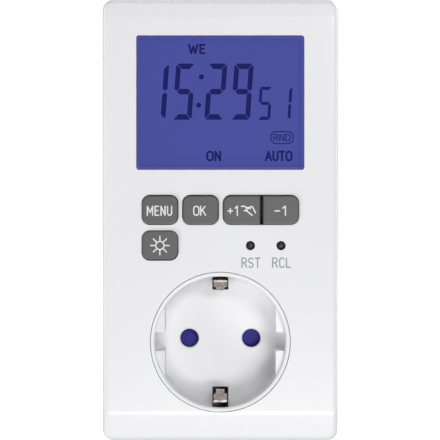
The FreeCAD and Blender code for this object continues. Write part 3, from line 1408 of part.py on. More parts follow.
def make_pin_clamp():
    depth = (CLAMP_FRONT, CLAMP_BACK)
    parts = [
        block(
            "clamp_bar", (f"-{PIN_X} - clamp_side", f"{PIN_X} + clamp_side"), depth,
            ("-clamp_half_height", "clamp_half_height"),
        ),
        block(
            "clamp_ears", ("-clamp_ear_half_width", "clamp_ear_half_width"), depth,
            ("-clamp_ear_half_height", "clamp_ear_half_height"),
        ),
    ]
    tools = [
        rod("clamp_right_hole", "pin_tail_radius + pin_gap", PIN_X, depth, "0"),
        rod("clamp_left_hole", "pin_tail_radius + pin_gap", f"-{PIN_X}", depth, "0"),
    ]
    for i, (x, z) in enumerate(CLAMP_PLACES, 1):
        tools.append(rod(f"clamp_screw_hole_{i}", "small_screw_radius + shank_gap", x, depth, z))
    keep(cut("pin_clamp", join("clamp_blank", parts), tools), "pin_clamp")


# Window, display and its light


def make_window():
    body = new_body("display_window_body")
    face = front_sketch(body, "window_face_outline", "window_sink")
    draw_rounded(
        face,
        ("-window_width / 2 + window_gap", "window_width / 2 - window_gap"),
        (f"{WINDOW_BOTTOM} + window_gap", f"{WINDOW_TOP} - window_gap"),
        "window_corner",
    )
    pad(body, "window_face", face, "front_wall - window_sink")
    flange = front_sketch(body, "window_flange_outline", "front_wall")
    draw_rectangle(
        flange,
        ("-window_width / 2 - window_flange", "window_width / 2 + window_flange"),
        (f"{WINDOW_BOTTOM} - window_flange", f"{WINDOW_TOP} + window_flange"),
    )
    pad(body, "window_flange", flange, "window_flange_thick")
    keep(body, "display_window")


def make_display():
    glass = block(
        "lcd_glass", (f"-{GLASS_SIDE}", GLASS_SIDE), (GLASS_FRONT, GLASS_BACK), (GLASS_LOW, GLASS_TOP)
    )
    keep(glass, "lcd_glass")
    depth = ("front_wall + window_flange_thick", "board_depth")
    inside = f"{GLASS_SIDE} + frame_gap"
    frame = block(
        "frame_outside", (f"-({inside} + frame_wall)", f"{inside} + frame_wall"), depth,
        (f"{GLASS_LOW} - frame_gap - frame_wall", FRAME_TOP),
    )
    opening = block(
        "frame_inside", (f"-({inside})", inside), depth,
        (f"{GLASS_LOW} - frame_gap", f"{GLASS_TOP} + frame_gap"),
    )
    keep(cut("display_frame", frame, [opening]), "display_frame")
    guide = block(
        "light_guide", (f"-{GLASS_SIDE} + guide_inset", GLASS_SIDE), (GLASS_BACK, "board_depth"),
        (f"{WINDOW_BOTTOM} - guide_bottom", GLASS_TOP),
    )
    keep(guide, "light_guide")
    side = f"{GLASS_SIDE} - contact_strip_side"
    low = f"{GLASS_LOW} + contact_strip_inset"
    strip = block("contact_strip_block", (f"-({side})", side), (GLASS_BACK, "board_depth"),
                  (low, f"{low} + contact_strip"))
    keep(strip, "elastomer_strip")
    lamps = []
    middle = f"{WINDOW_BOTTOM} + window_height / 2"
    left = f"-{GLASS_SIDE} + (guide_inset - led_wide) / 2"
    for i, step in enumerate((-1, 0, 1), 1):
        z = f"{middle} + {step} * led_pitch"
        lamps.append(block(
            f"backlight_led_{i}", (left, f"{left} + led_wide"), ("board_depth - led_high", "board_depth"),
            (f"{z} - led_tall / 2", f"{z} + led_tall / 2"),
        ))
    keep(group("backlight_leds", lamps), "backlight_leds")


# Control board and what it carries


def make_control_board():
    depth = ("board_depth", BOARD_BACK)
    tongue = "board_screw_top_x + board_screw_inset"
    board = join("control_board_blank", [
        block("control_board_main", (f"-{BOARD_SIDE}", BOARD_SIDE), depth, (BOARD_BOTTOM, BOARD_TOP)),
        block(
            "control_board_tongue", (f"-({tongue})", tongue), depth,
            (BOARD_BOTTOM, f"{BOARD_SCREW_TOP} + board_screw_inset"),
        ),
    ])
    holes = [
        rod(f"board_hole_{i}", "small_screw_radius + shank_gap", x, depth, z)
        for i, (x, z) in enumerate(BOARD_SCREW_PLACES, 1)
    ]
    keep(cut("control_board", board, holes), "control_board")
    chip = block(
        "controller_chip", ("-chip_size / 2", "chip_size / 2"), (BOARD_BACK, f"{BOARD_BACK} + chip_thick"),
        ("chip_z - chip_size / 2", "chip_z + chip_size / 2"),
    )
    keep(chip, "controller_chip")
    crystal = rod(
        "clock_crystal", "crystal_radius", "crystal_x", f"{BOARD_BACK} + crystal_radius",
        ("chip_z - crystal_length / 2", "chip_z + crystal_length / 2"),
    )
    keep(crystal, "clock_crystal")
    wide = (f"{RIBBON_X} - plug_block_wide / 2", f"{RIBBON_X} + plug_block_wide / 2")
    tall = (f"{RIBBON_Z} - plug_block_tall / 2", f"{RIBBON_Z} + plug_block_tall / 2")
    sockets = [
        block("control_side_socket", wide, (BOARD_BACK, f"{BOARD_BACK} + plug_block_high"), tall),
        block("power_side_socket", wide, (f"{POWER_FRONT} - plug_block_high", POWER_FRONT), tall),
    ]
    keep(group("ribbon_sockets", sockets), "ribbon_sockets")


def make_ribbon():
    """The flat cable between the boards, bowed upwards, drawn from the side."""
    body = new_body("ribbon_cable_body")
    sketch = side_sketch(body, "ribbon_outline")
    start = at_depth(f"{BOARD_BACK} + plug_block_high")
    end = at_depth(f"{POWER_FRONT} - plug_block_high")
    low = [
        (start, f"{RIBBON_Z} - ribbon_thick / 2"),
        (f"{start} * 0.75 + {end} * 0.25", f"{RIBBON_Z} - ribbon_thick / 2 + ribbon_bow * 0.7"),
        (f"{start} * 0.5 + {end} * 0.5", f"{RIBBON_Z} - ribbon_thick / 2 + ribbon_bow"),
        (f"{start} * 0.25 + {end} * 0.75", f"{RIBBON_Z} - ribbon_thick / 2 + ribbon_bow * 0.7"),
        (end, f"{RIBBON_Z} - ribbon_thick / 2"),
    ]
    high = [(y, f"{z} + ribbon_thick") for y, z in reversed(low)]
    draw_outline(sketch, low + high)
    both_ways(body, "ribbon_strip", sketch, "ribbon_wide")
    bind(body, "Placement.Base.x", RIBBON_X)
    keep(body, "ribbon_cable")


# Power board and what it carries


def standing(depth):
    """Depths of something of that height on the power board."""
    return (f"{POWER_FRONT} - ({depth})", POWER_FRONT)


def make_power_board():
    board = block(
        "power_board_blank", (f"-{POWER_SIDE}", POWER_SIDE), (POWER_FRONT, POWER_BACK),
        (POWER_BOTTOM, POWER_TOP),
    )
    holes = [
        rod(f"power_hole_{i}", "small_screw_radius + shank_gap", x, (POWER_FRONT, POWER_BACK), z)
        for i, (x, z) in enumerate(POWER_SCREW_PLACES, 1)
    ]
    keep(cut("power_board", board, holes), "power_board")
    film = block(
        "dropper_capacitor", ("film_x - film_wide / 2", "film_x + film_wide / 2"), standing("film_high"),
        ("film_z - film_tall / 2", "film_z + film_tall / 2"),
    )
    keep(film, "dropper_capacitor")
    keep(rod("smoothing_capacitor", "can_radius", "can_x", standing("can_high"), "can_z"),
         "smoothing_capacitor")
    disc = rod(
        "varistor", "disc_radius", ("disc_x - disc_thick / 2", "disc_x + disc_thick / 2"),
        f"{POWER_FRONT} - disc_radius", "disc_z",
    )
    keep(disc, "varistor")
    fuse = rod(
        "fusible_resistor", "fuse_radius", "fuse_x", f"{POWER_FRONT} - fuse_radius",
        ("fuse_z - fuse_length / 2", "fuse_z + fuse_length / 2"),
    )
    keep(fuse, "fusible_resistor")
    diodes = [
        rod(
            f"rectifier_diode_{i}", "diode_radius", f"diode_x + {step} * diode_pitch",
            f"{POWER_FRONT} - diode_radius",
            ("diode_z - diode_length / 2", "diode_z + diode_length / 2"),
        )
        for i, step in enumerate((-1.5, -0.5, 0.5, 1.5), 1)
    ]
    keep(group("rectifier_diodes", diodes), "rectifier_diodes")
    keep(rod("backup_battery", "cell_radius", "cell_x", standing("cell_high"), "cell_z"),
         "backup_battery")
    reach = "cell_x + cell_radius + tab_reach"
    tab_back = f"{POWER_FRONT} - cell_high"
    tab = [
        block(
            "tab_over", ("cell_x", reach), (f"{tab_back} - tab_thick", tab_back),
            ("cell_z - tab_half_width", "cell_z + tab_half_width"),
        ),
        block(
            "tab_down", (f"{reach} - tab_thick", reach), standing("cell_high + tab_thick"),
            ("cell_z - tab_half_width", "cell_z + tab_half_width"),
        ),
    ]
    keep(join("battery_tab", tab), "battery_tab")


# Relay: base, cover, coil and the armature that its coil pulls

RELAY_FRONT = f"({POWER_FRONT} - relay_high)"
BASE_FRONT = f"({POWER_FRONT} - relay_base)"
COIL_X = "(relay_x + coil_x)"
COIL_BACK = f"({BASE_FRONT} - yoke_thick)"
COIL_FRONT = f"({COIL_BACK} - coil_length)"
YOKE_X = f"({COIL_X} - coil_bobbin - yoke_thick)"
ARMATURE_BACK = f"({COIL_FRONT} - armature_gap)"
HINGE_DEPTH = f"({ARMATURE_BACK} + armature_hinge_gap)"


def make_relay():
    x = ("relay_x - relay_wide / 2", "relay_x + relay_wide / 2")
    z = ("relay_z - relay_tall / 2", "relay_z + relay_tall / 2")
    inset = "relay_wall + relay_gap"
    base = block(
        "relay_base_block", (f"{x[0]} + {inset}", f"{x[1]} - ({inset})"), standing("relay_base"),
        (f"{z[0]} + {inset}", f"{z[1]} - ({inset})"),
    )
    keep(base, "relay_base")
    hollow = block(
        "relay_hollow", (f"{x[0]} + relay_wall", f"{x[1]} - relay_wall"),
        (f"{RELAY_FRONT} + relay_wall", POWER_FRONT),
        (f"{z[0]} + relay_wall", f"{z[1]} - relay_wall"),
    )
    cover = block("relay_outside", x, standing("relay_high"), z)
    keep(cut("relay_cover", cover, [hollow]), "relay_cover")
    bobbin = [
        rod("bobbin_tube", "coil_core + coil_tube", COIL_X, (COIL_FRONT, COIL_BACK), "relay_z"),
        rod("bobbin_front", "coil_bobbin", COIL_X, (COIL_FRONT, f"{COIL_FRONT} + coil_flange"), "relay_z"),
        rod("bobbin_back", "coil_bobbin", COIL_X, (f"{COIL_BACK} - coil_flange", COIL_BACK), "relay_z"),
    ]
    bore = rod("bobbin_bore", "coil_core", COIL_X, (COIL_FRONT, COIL_BACK), "relay_z")
    keep(cut("relay_bobbin", join("bobbin_blank", bobbin), [bore]), "relay_bobbin")
    between = (f"{COIL_FRONT} + coil_flange", f"{COIL_BACK} - coil_flange")
    winding = rod("winding_outside", "coil_winding", COIL_X, between, "relay_z")
    inside = rod("winding_inside", "coil_core + coil_tube", COIL_X, between, "relay_z")
    keep(cut("relay_winding", winding, [inside]), "relay_winding")
    tall = ("relay_z - yoke_half_height", "relay_z + yoke_half_height")
    yoke = [
        rod("relay_core", "coil_core", COIL_X, (COIL_FRONT, COIL_BACK), "relay_z"),
        block("yoke_foot", (YOKE_X, f"{COIL_X} + coil_core"), (COIL_BACK, BASE_FRONT), tall),
        block("yoke_side", (YOKE_X, f"{YOKE_X} + yoke_thick"), (HINGE_DEPTH, BASE_FRONT), tall),
    ]
    keep(join("relay_yoke", yoke), "relay_yoke")
    armature = block(
        "relay_armature_plate", (YOKE_X, f"{COIL_X} + coil_bobbin"),
        (f"{ARMATURE_BACK} - armature_thick", ARMATURE_BACK), tall,
    )
    keep(armature, "relay_armature")


# Build every sub-part

make_front_cover()
make_rear_shell()
make_plug_body()
make_socket_insert()
make_window()
key_middles = {name: (make_key(name, left, right, row, rounded), row)
               for name, left, right, row, rounded in KEYS}
for name, middle in SMALL_KEYS:
    make_small_key(name, middle)
    key_middles[name] = (middle, LOW_ROW)
for name, (middle, row) in key_middles.items():
    make_dome(name, middle, row)
make_display()
make_control_board()
make_ribbon()
make_power_board()
make_relay()
make_shutter()
make_shutter_spring()
make_contact_carrier()
make_earth_clips()
make_leads()
make_plug_earth_strap()
make_pin("live_pin", "")
make_pin("neutral_pin", "-")
make_pin_clamp()
screw_set("case_screws", [
    (CASE_SCREW, "case_screw_length", CASE_SCREW_PLACES, "case_head_seat", False),
])
screw_set("board_screws", [
    (SMALL_SCREW, "board_screw_length", BOARD_SCREW_PLACES, BOARD_BACK, False),
    (SMALL_SCREW, "board_screw_length", POWER_SCREW_PLACES, POWER_FRONT, True),
])
screw_set("inner_screws", [
    (SMALL_SCREW, "small_screw_length", EAR_PLACES, "ear_depth + ear_thick", False),
    (SMALL_SCREW, "small_screw_length", POST_PLACES, CARRIER_BACK, False),
    (SMALL_SCREW, "small_screw_length", CLAMP_PLACES, CLAMP_FRONT, True),
])
doc.recompute()

# Check every object and write one file for each sub-part

for thing in doc.Objects:
    if "Invalid" in thing.State or "Error" in thing.State:
        raise RuntimeError(f"{thing.Name} failed: {thing.State}")
os.makedirs("parts", exist_ok=True)
for thing in PIECES:
    shape = thing.Shape
    if shape.isNull() or not shape.isValid() or not shape.Solids:
        raise RuntimeError(f"{thing.Label} has no valid solid")
    shape.exportStep(f"parts/{thing.Label}.step")
print(len(PIECES), "sub-parts")
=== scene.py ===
import json
import math

import bmesh
import bpy
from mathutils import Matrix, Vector


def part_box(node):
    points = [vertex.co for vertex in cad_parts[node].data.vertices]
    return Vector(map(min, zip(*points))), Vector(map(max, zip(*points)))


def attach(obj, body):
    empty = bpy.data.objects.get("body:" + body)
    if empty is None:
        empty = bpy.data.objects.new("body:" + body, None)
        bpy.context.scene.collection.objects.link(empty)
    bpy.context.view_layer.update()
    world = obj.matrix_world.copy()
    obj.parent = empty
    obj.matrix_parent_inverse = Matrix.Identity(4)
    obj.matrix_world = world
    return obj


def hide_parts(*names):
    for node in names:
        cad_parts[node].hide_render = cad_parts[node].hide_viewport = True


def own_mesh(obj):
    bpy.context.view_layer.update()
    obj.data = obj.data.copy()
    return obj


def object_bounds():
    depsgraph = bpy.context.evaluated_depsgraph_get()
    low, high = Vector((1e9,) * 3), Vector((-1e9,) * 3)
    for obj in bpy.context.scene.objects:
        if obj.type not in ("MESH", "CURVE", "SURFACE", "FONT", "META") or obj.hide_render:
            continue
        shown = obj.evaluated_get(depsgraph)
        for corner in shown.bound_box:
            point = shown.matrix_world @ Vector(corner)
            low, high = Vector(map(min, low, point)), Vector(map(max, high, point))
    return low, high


# A plug-in timer switch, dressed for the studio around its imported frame. X runs across the
# front, Z runs up, and the front looks along -Y. The origin is the middle of the plug's end
# face, so the front face lies in the plane Y = FACE. Lengths are in metres, but those of
# letters, marks, outlines and profiles are in millimetres until a mesh is made of them.

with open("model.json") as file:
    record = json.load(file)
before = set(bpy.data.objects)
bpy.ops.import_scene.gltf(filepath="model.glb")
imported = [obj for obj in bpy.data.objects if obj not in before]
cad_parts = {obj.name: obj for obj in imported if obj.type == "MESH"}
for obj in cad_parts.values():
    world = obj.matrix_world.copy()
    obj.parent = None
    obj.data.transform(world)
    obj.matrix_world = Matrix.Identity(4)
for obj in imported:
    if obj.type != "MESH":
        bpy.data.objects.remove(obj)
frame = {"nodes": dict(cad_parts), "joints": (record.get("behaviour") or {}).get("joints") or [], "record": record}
NODES = frame["nodes"]
RECORD = frame["record"]
MM = 0.001


def corners(bounds):
    return [list(corner) for corner in bounds]


cad_box = corners(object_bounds())
FACE = -0.0553
GLASS_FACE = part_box("lcd_glass")[0].y
KEY_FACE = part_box("menu_key")[0].y

# Camera, level and straight on, above the socket's axis

PICTURE_WIDTH = 440
SENSOR = 36.0
EYE = Vector((-0.1, -559.3, 36.3)) * MM
# Pixels from the middle of the picture to where a line of sight with a slope of one lands
PIXELS_PER_SLOPE = 1696.0
NEAREST = 0.01
FARTHEST = 50.0


def set_camera():
    lens = bpy.data.cameras.new("camera")
    lens.sensor_width = SENSOR
    lens.lens = PIXELS_PER_SLOPE * SENSOR / PICTURE_WIDTH
    lens.clip_start = NEAREST
    lens.clip_end = FARTHEST
    camera = bpy.data.objects.new("camera", lens)
    camera.location = EYE
    camera.rotation_euler = (math.pi / 2, 0, 0)
    bpy.context.scene.collection.objects.link(camera)
    bpy.context.scene.camera = camera


# Shader maths: an expression on signals adds its Math nodes


class Signal:
    """One output socket of a material's tree."""

    def __init__(self, finish, socket):
        self.finish = finish
        self.socket = socket

    def combine(self, operation, first, second):
        inputs = {"Value": first, "Value_001": second}
        return self.finish.add("ShaderNodeMath", {"operation": operation}, inputs)

    def __add__(self, other):
        return self.combine("ADD", self, other)

    def __radd__(self, other):
        return self.combine("ADD", other, self)

    def __sub__(self, other):
        return self.combine("SUBTRACT", self, other)

    def __rsub__(self, other):
        return self.combine("SUBTRACT", other, self)

    def __mul__(self, other):
        return self.combine("MULTIPLY", self, other)

    def __rmul__(self, other):
        return self.combine("MULTIPLY", other, self)


def find_socket(sockets, key):
    """A node's socket by its identifier, or else by its name."""
    for socket in sockets:
        if socket.identifier == key:
            return socket
    return sockets[key]


# The length of one wave of a wave texture whose scale is 1
WAVE_LENGTH = 0.314
UNSTRETCHED = (1, 1, 1)


class Finish:
    """A material being made, and the one method that adds its nodes."""

    def __init__(self, name):
        self.material = bpy.data.materials.new(name)
        self.material.use_nodes = True
        self.tree = self.material.node_tree
        self.tree.nodes.clear()
        self.place = self.add("ShaderNodeTexCoord", {}, {}, "Object")

    def add(self, kind, settings, inputs, output=None):
        node = self.tree.nodes.new(kind)
        for name, setting in settings.items():
            setattr(node, name, setting)
        for name, given in inputs.items():
            socket = find_socket(node.inputs, name)
            if isinstance(given, Signal):
                self.tree.links.new(given.socket, socket)
            else:
                socket.default_value = given
        if not node.outputs:
            return None
        return Signal(self, find_socket(node.outputs, output) if output else node.outputs[0])

    def noise(self, size, detail=2.0, stretch=UNSTRETCHED):
        """Soft noise of about 0 to 1, with features about as large as the size."""
        place = self.place
        if stretch != UNSTRETCHED:
            place = self.add(
                "ShaderNodeVectorMath", {"operation": "MULTIPLY"},
                {"Vector": place, "Vector_001": stretch},
            )
        return self.add(
            "ShaderNodeTexNoise", {}, {"Vector": place, "Scale": 1 / size, "Detail": detail}, "Fac"
        )

    def ridges(self, size, direction):
        """Waves as long as the size, which follow one another along X, Y or Z."""
        return self.add(
            "ShaderNodeTexWave", {"bands_direction": direction},
            {"Vector": self.place, "Scale": WAVE_LENGTH / size}, "Fac",
        )

    def mix(self, factor, first, second):
        return self.add(
            "ShaderNodeMix", {"data_type": "RGBA"},
            {"Factor_Float": factor, "A_Color": first, "B_Color": second}, "Result_Color",
        )

    def tint(self, factor, colour, darkest, lightest):
        """One colour, taken by a factor from its darkest share to its lightest."""
        return self.mix(factor, tinted(colour, darkest), tinted(colour, lightest))

    def relief(self, height, depth):
        return self.add("ShaderNodeBump", {}, {"Height": height, "Distance": depth})

    def shade(self, sockets):
        surface = self.add("ShaderNodeBsdfPrincipled", {}, sockets)
        self.add("ShaderNodeOutputMaterial", {}, {"Surface": surface})
        return self.material


def tinted(colour, share=1.0):
    """An opaque colour, at a share of its brightness."""
    return (*[min(1.0, c * share) for c in colour], 1.0)


def varied(middle, noise, spread):
    """A value that a noise moves up and down round its middle."""
    return middle + (noise - 0.5) * spread


# Finishes, and the sizes of what shows in them

FLOW_MARK = 0.018
SINK_MARK = 0.004
ROLLED_LINE = 0.0003
RIDGE_STAIN = 0.002
BOARD_WEAVE = 0.0004
TRACK_SCALE = 240.0
# The board's greens hold painted shade: very dark, so the gaps between the keys look shaded
SHADED_MASK_GREEN = (0.005, 0.024, 0.012)
SHADED_TRACK_GREEN = (0.01, 0.055, 0.026)
ACRYLIC_SWIRL = 0.02
PAINTED_GLOW_CLOUD = 0.03
GLASS_GRAIN = 0.0002


def moulded(name, colour, roughness, grain=0.0004, depth=0.000004, streak=0.02, **constants):
    """Injection-moulded plastic: faint flow marks, and a fine grain in its gloss and relief."""
    finish = Finish(name)
    flow = finish.noise(FLOW_MARK, detail=3.0, stretch=(1, 1, 0.5))
    fine = finish.noise(grain)
    sink = finish.noise(SINK_MARK, detail=1.0)
    return finish.shade({
        "Base Color": finish.tint(flow, colour, 1 - streak, 1 + streak),
        "Roughness": varied(varied(roughness, fine, spread=0.12), flow, spread=0.06),
        "Normal": finish.relief(fine + sink * 0.5, depth),
        **constants,
    })


def plated(name, colour, roughness, stretch=(1, 1, 0.06), dull=0.75, patch=0.003, dent=0.0):
    """Rolled and plated metal: lines along the strip, with duller, slightly dented patches."""
    finish = Finish(name)
    lines = finish.noise(ROLLED_LINE, detail=3.0, stretch=stretch)
    patches = finish.noise(patch, detail=4.0)
    return finish.shade({
        "Base Color": finish.tint(patches, colour, dull, 1.05),
        "Metallic": 1.0,
        "Roughness": varied(varied(roughness, lines, spread=0.2), patches, spread=0.15),
        "Normal": finish.relief(lines + patches * dent, depth=0.000006),
    })


def ridged(name, ridge_colour, groove_colour, roughness, size, direction, depth, metallic=0.0):
    """A surface of close ridges, such as turns of wire or the cores of a flat cable."""
    finish = Finish(name)
    ridge = finish.ridges(size, direction)
    stains = finish.noise(RIDGE_STAIN)
    return finish.shade({
        "Base Color": finish.mix(ridge, tinted(groove_colour), tinted(ridge_colour)),
        "Metallic": metallic,
        "Roughness": varied(roughness, stains, spread=0.2),
        "Normal": finish.relief(ridge, depth),
    })


def coated(name, colour, roughness, lump=0.0015, depth=0.00004):
    """A dipped or cast skin, a little uneven all over."""
    finish = Finish(name)
    lumps = finish.noise(lump, detail=3.0)
    return finish.shade({
        "Base Color": finish.tint(lumps, colour, 0.85, 1.1),
        "Roughness": varied(roughness, lumps, spread=0.2),
        "Normal": finish.relief(lumps, depth),
    })


def laminate(name):
    """Green solder mask over the copper tracks of a board, both darkened with painted shade."""
    finish = Finish(name)
    tracks = finish.add(
        "ShaderNodeTexBrick", {"offset": 0.5},
        {"Vector": finish.place, "Scale": TRACK_SCALE, "Mortar Size": 0.16, "Mortar Smooth": 0.2},
        "Fac",
    )
    weave = finish.noise(BOARD_WEAVE)
    return finish.shade({
        "Base Color": finish.mix(tracks, tinted(SHADED_MASK_GREEN), tinted(SHADED_TRACK_GREEN)),
        "Roughness": varied(0.32, weave, spread=0.15),
        "Normal": finish.relief(tracks * 0.6 + weave * 0.2, depth=0.00003),
    })


def clear(name, colour, alpha, roughness=0.04):
    """Clear acrylic, seen through, with a faint unevenness in its gloss."""
    finish = Finish(name)
    swirl = finish.noise(ACRYLIC_SWIRL)
    return finish.shade({
        "Base Color": finish.tint(swirl, colour, 0.96, 1.04),
        "Roughness": varied(roughness, swirl, spread=0.03),
        "Alpha": alpha,
        "Normal": finish.relief(swirl, depth=0.00002),
    })


def liquid_crystal(name, colour, painted_glow):
    """The field of the display or its dark segments, which glow with painted light in place of a backlight's, even
    and free of shade, and a little cloudy.
    """
    finish = Finish(name)
    cloud = finish.noise(PAINTED_GLOW_CLOUD, detail=1.0)
    fine = finish.noise(GLASS_GRAIN, detail=1.0)
    return finish.shade({
        "Base Color": finish.tint(cloud, colour, 0.92, 1.06),
        "Roughness": varied(0.35, fine, spread=0.1),
        # Painted glow: the display gives off its own even light, so no shade falls on it
        "Emission Color": finish.tint(cloud, painted_glow, 0.96, 1.04),
        "Emission Strength": 1.0,
        "Specular IOR Level": 0.03,
        "Normal": finish.relief(fine, depth=0.000001),
    })


def ink(name, colour, roughness=0.5):
    """A printed mark, slightly grainy."""
    return moulded(name, colour, roughness, grain=0.0002, depth=0.000002, streak=0.03)


# The finish of each material slot in the record

CASE_WHITE = (0.83, 0.83, 0.845)
INSERT_WHITE = (0.84, 0.84, 0.86)
SLOT_FINISHES = {
    "case_plastic": lambda: moulded("case_white", CASE_WHITE, roughness=0.22, streak=0.006),
    "insert_plastic": lambda: moulded("insert_white", INSERT_WHITE, roughness=0.5, streak=0.006),
    "window_acrylic": lambda: clear("window_clear", (0.07, 0.08, 0.33), alpha=0.05),
    # The display's field glows with painted light, even and free of shade
    "display_glass": lambda: liquid_crystal(
        "crystal_violet", (0.014, 0.016, 0.07), painted_glow=(0.0585, 0.0675, 0.288)),
    "frame_plastic": lambda: moulded("frame_grey", (0.6, 0.6, 0.6), roughness=0.45),
    "guide_acrylic": lambda: clear("guide_clear", (0.75, 0.78, 0.95), alpha=0.5, roughness=0.2),
    "contact_rubber": lambda: ridged(
        "strip_rubber", (0.7, 0.45, 0.5), (0.03, 0.03, 0.03),
        roughness=0.6, size=0.0002, direction="X", depth=0.00002),
    "lamp_resin": lambda: moulded("lamp_white", (0.85, 0.86, 0.95), roughness=0.25),
    "key_plastic": lambda: moulded(
        "key_grey", (0.104, 0.102, 0.104), roughness=0.32, grain=0.00025, depth=0.000006),
    "small_key_plastic": lambda: moulded("key_black", (0.022, 0.022, 0.026), roughness=0.35),
    "silicone_rubber": lambda: moulded("dome_silicone", (0.6, 0.6, 0.58), roughness=0.55),
    "board_laminate": lambda: laminate("board_green"),
    "chip_resin": lambda: moulded(
        "chip_black", (0.02, 0.02, 0.022), roughness=0.6, grain=0.0002, depth=0.00001),
    "can_metal": lambda: plated("can_aluminium", (0.72, 0.72, 0.74), roughness=0.3),
    "socket_plastic": lambda: moulded("socket_ivory", (0.78, 0.74, 0.64), roughness=0.4),
    "ribbon_skin": lambda: ridged(
        "ribbon_grey", (0.42, 0.44, 0.47), (0.25, 0.26, 0.28),
        roughness=0.45, size=0.00127, direction="X", depth=0.0002),
    "film_capacitor_plastic": lambda: moulded("capacitor_red", (0.6, 0.12, 0.04), roughness=0.35),
    "varistor_coat": lambda: coated("varistor_blue", (0.05, 0.12, 0.42), roughness=0.35),
    "resistor_coat": lambda: coated(
        "resistor_green", (0.2, 0.32, 0.2), roughness=0.6, lump=0.0008, depth=0.00003),
    "battery_sleeve": lambda: moulded("sleeve_green", (0.06, 0.26, 0.12), roughness=0.22),
    "tin_plate": lambda: plated("tab_tin", (0.62, 0.62, 0.63), roughness=0.3),
    "relay_plastic": lambda: moulded("relay_black", (0.03, 0.03, 0.035), roughness=0.3),
    "bobbin_plastic": lambda: moulded("bobbin_cream", (0.6, 0.6, 0.56), roughness=0.45),
    "copper_wire": lambda: ridged(
        "winding_copper", (0.75, 0.3, 0.12), (0.25, 0.08, 0.03),
        roughness=0.3, size=0.00016, direction="Y", depth=0.00005, metallic=1.0),
    "relay_steel": lambda: plated("relay_zinc", (0.55, 0.55, 0.56), roughness=0.38),
    "shutter_plastic": lambda: moulded(
        "shutter_blue", (0.027, 0.025, 0.235), roughness=0.55, **{"Specular IOR Level": 0.2}),
    "spring_steel": lambda: plated(
        "spring_wire", (0.5, 0.5, 0.52), roughness=0.3, stretch=UNSTRETCHED),
    "carrier_plastic": lambda: moulded("carrier_dark", (0.09, 0.09, 0.1), roughness=0.5),
    "contact_brass": lambda: plated("contact_brass", (0.72, 0.52, 0.24), roughness=0.28),
    "earth_metal": lambda: plated(
        "earth_strip", (0.88, 0.77, 0.69), roughness=0.46,
        stretch=(1, 1, 0.08), dull=0.0, patch=0.0012, dent=9.0),
    "pin_nickel": lambda: plated(
        "pin_nickel", (0.74, 0.73, 0.70), roughness=0.2, stretch=(1, 0.1, 1)),
    "screw_steel": lambda: plated(
        "screw_zinc", (0.6, 0.6, 0.62), roughness=0.3, stretch=UNSTRETCHED),
}


def dress_nodes():
    finishes = {slot: make() for slot, make in SLOT_FINISHES.items()}
    for part in RECORD["subparts"]:
        mesh = NODES[part["node"]].data
        mesh.materials.clear()
        mesh.materials.append(finishes[part["material_slot"]])
    return finishes


# Pieces: a closed mesh, its finish and its body


def finish_piece(name, bm, material, body, smooth=True):
    bmesh.ops.recalc_face_normals(bm, faces=bm.faces)
    mesh = bpy.data.meshes.new(name)
    bm.to_mesh(mesh)
    bm.free()
    for face in mesh.polygons:
        face.use_smooth = smooth
    mesh.materials.append(material)
    piece = bpy.data.objects.new(name, mesh)
    bpy.context.scene.collection.objects.link(piece)
    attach(piece, body)
    return piece


# Strokes: raised lines with round ends on a face that looks along -Y

ROUND_STEPS = 10
CAP_STEPS = 3
CORNER_STEPS = 6
SHARP_TURN = math.radians(25)


def split_at_corners(points):
    """The line cut where it turns sharply, so that every part runs smoothly."""
    runs = [[points[0]]]
    for before, here, after in zip(points, points[1:], points[2:]):
        runs[-1].append(here)
        turn = (after - here).angle(here - before)
        if turn > SHARP_TURN:
            runs.append([here])
    runs[-1].append(points[-1])
    return runs


def add_stroke(bm, points, width, rise):
    """An elliptical bar along the points, each an (x, z) pair, half sunk in the plane y = 0."""
    last = len(points) - 1
    ahead = [(points[min(i + 1, last)] - points[max(i - 1, 0)]).normalized() for i in range(last + 1)]
    rings = [(point, way, 1.0) for point, way in zip(points, ahead)]
    for step in range(1, CAP_STEPS):
        lean = math.pi / 2 * step / CAP_STEPS
        reach = ahead[0] * width / 2 * math.sin(lean)
        rings.insert(0, (points[0] - reach, ahead[0], math.cos(lean)))
        reach = ahead[-1] * width / 2 * math.sin(lean)
        rings.append((points[-1] + reach, ahead[-1], math.cos(lean)))
    made = []
    for point, way, share in rings:
        side = Vector((way.y, -way.x))
        ring = []
        for step in range(ROUND_STEPS):
            turn = 2 * math.pi * step / ROUND_STEPS
            offset = side * math.cos(turn) * share * width / 2
            height = math.sin(turn) * share * rise
            ring.append(bm.verts.new((point.x + offset.x, height, point.y + offset.y)))
        made.append(ring)
    for first, second in zip(made, made[1:]):
        for i in range(ROUND_STEPS):
            j = (i + 1) % ROUND_STEPS
            bm.faces.new((first[i], first[j], second[j], second[i]))
    for ring, point, way in ((made[0], points[0], -ahead[0]), (made[-1], points[-1], ahead[-1])):
        tip = point + way * width / 2
        pole = bm.verts.new((tip.x, 0, tip.y))
        for i in range(ROUND_STEPS):
            bm.faces.new((ring[i], ring[(i + 1) % ROUND_STEPS], pole))


def arc(middle, radius, start, end, steps=12):
    """Points on an ellipse, with its angles in degrees."""
    turns = [math.radians(start + (end - start) * step / steps) for step in range(steps + 1)]
    return [
        Vector((middle[0] + radius[0] * math.cos(turn), middle[1] + radius[1] * math.sin(turn)))
        for turn in turns
    ]


def line(*points):
    return [Vector(point) for point in points]


def rounded_frame(middle, half, corner):
    """A closed outline with rounded corners, from its half width and half height."""
    points = []
    for across, up, start in ((1, 1, 0), (-1, 1, 90), (-1, -1, 180), (1, -1, 270)):
        place = (middle[0] + across * (half[0] - corner), middle[1] + up * (half[1] - corner))
        points += arc(place, (corner, corner), start, start + 90, CORNER_STEPS)
    return points + [points[0]]


# Letters, one unit high, each with its width and its strokes

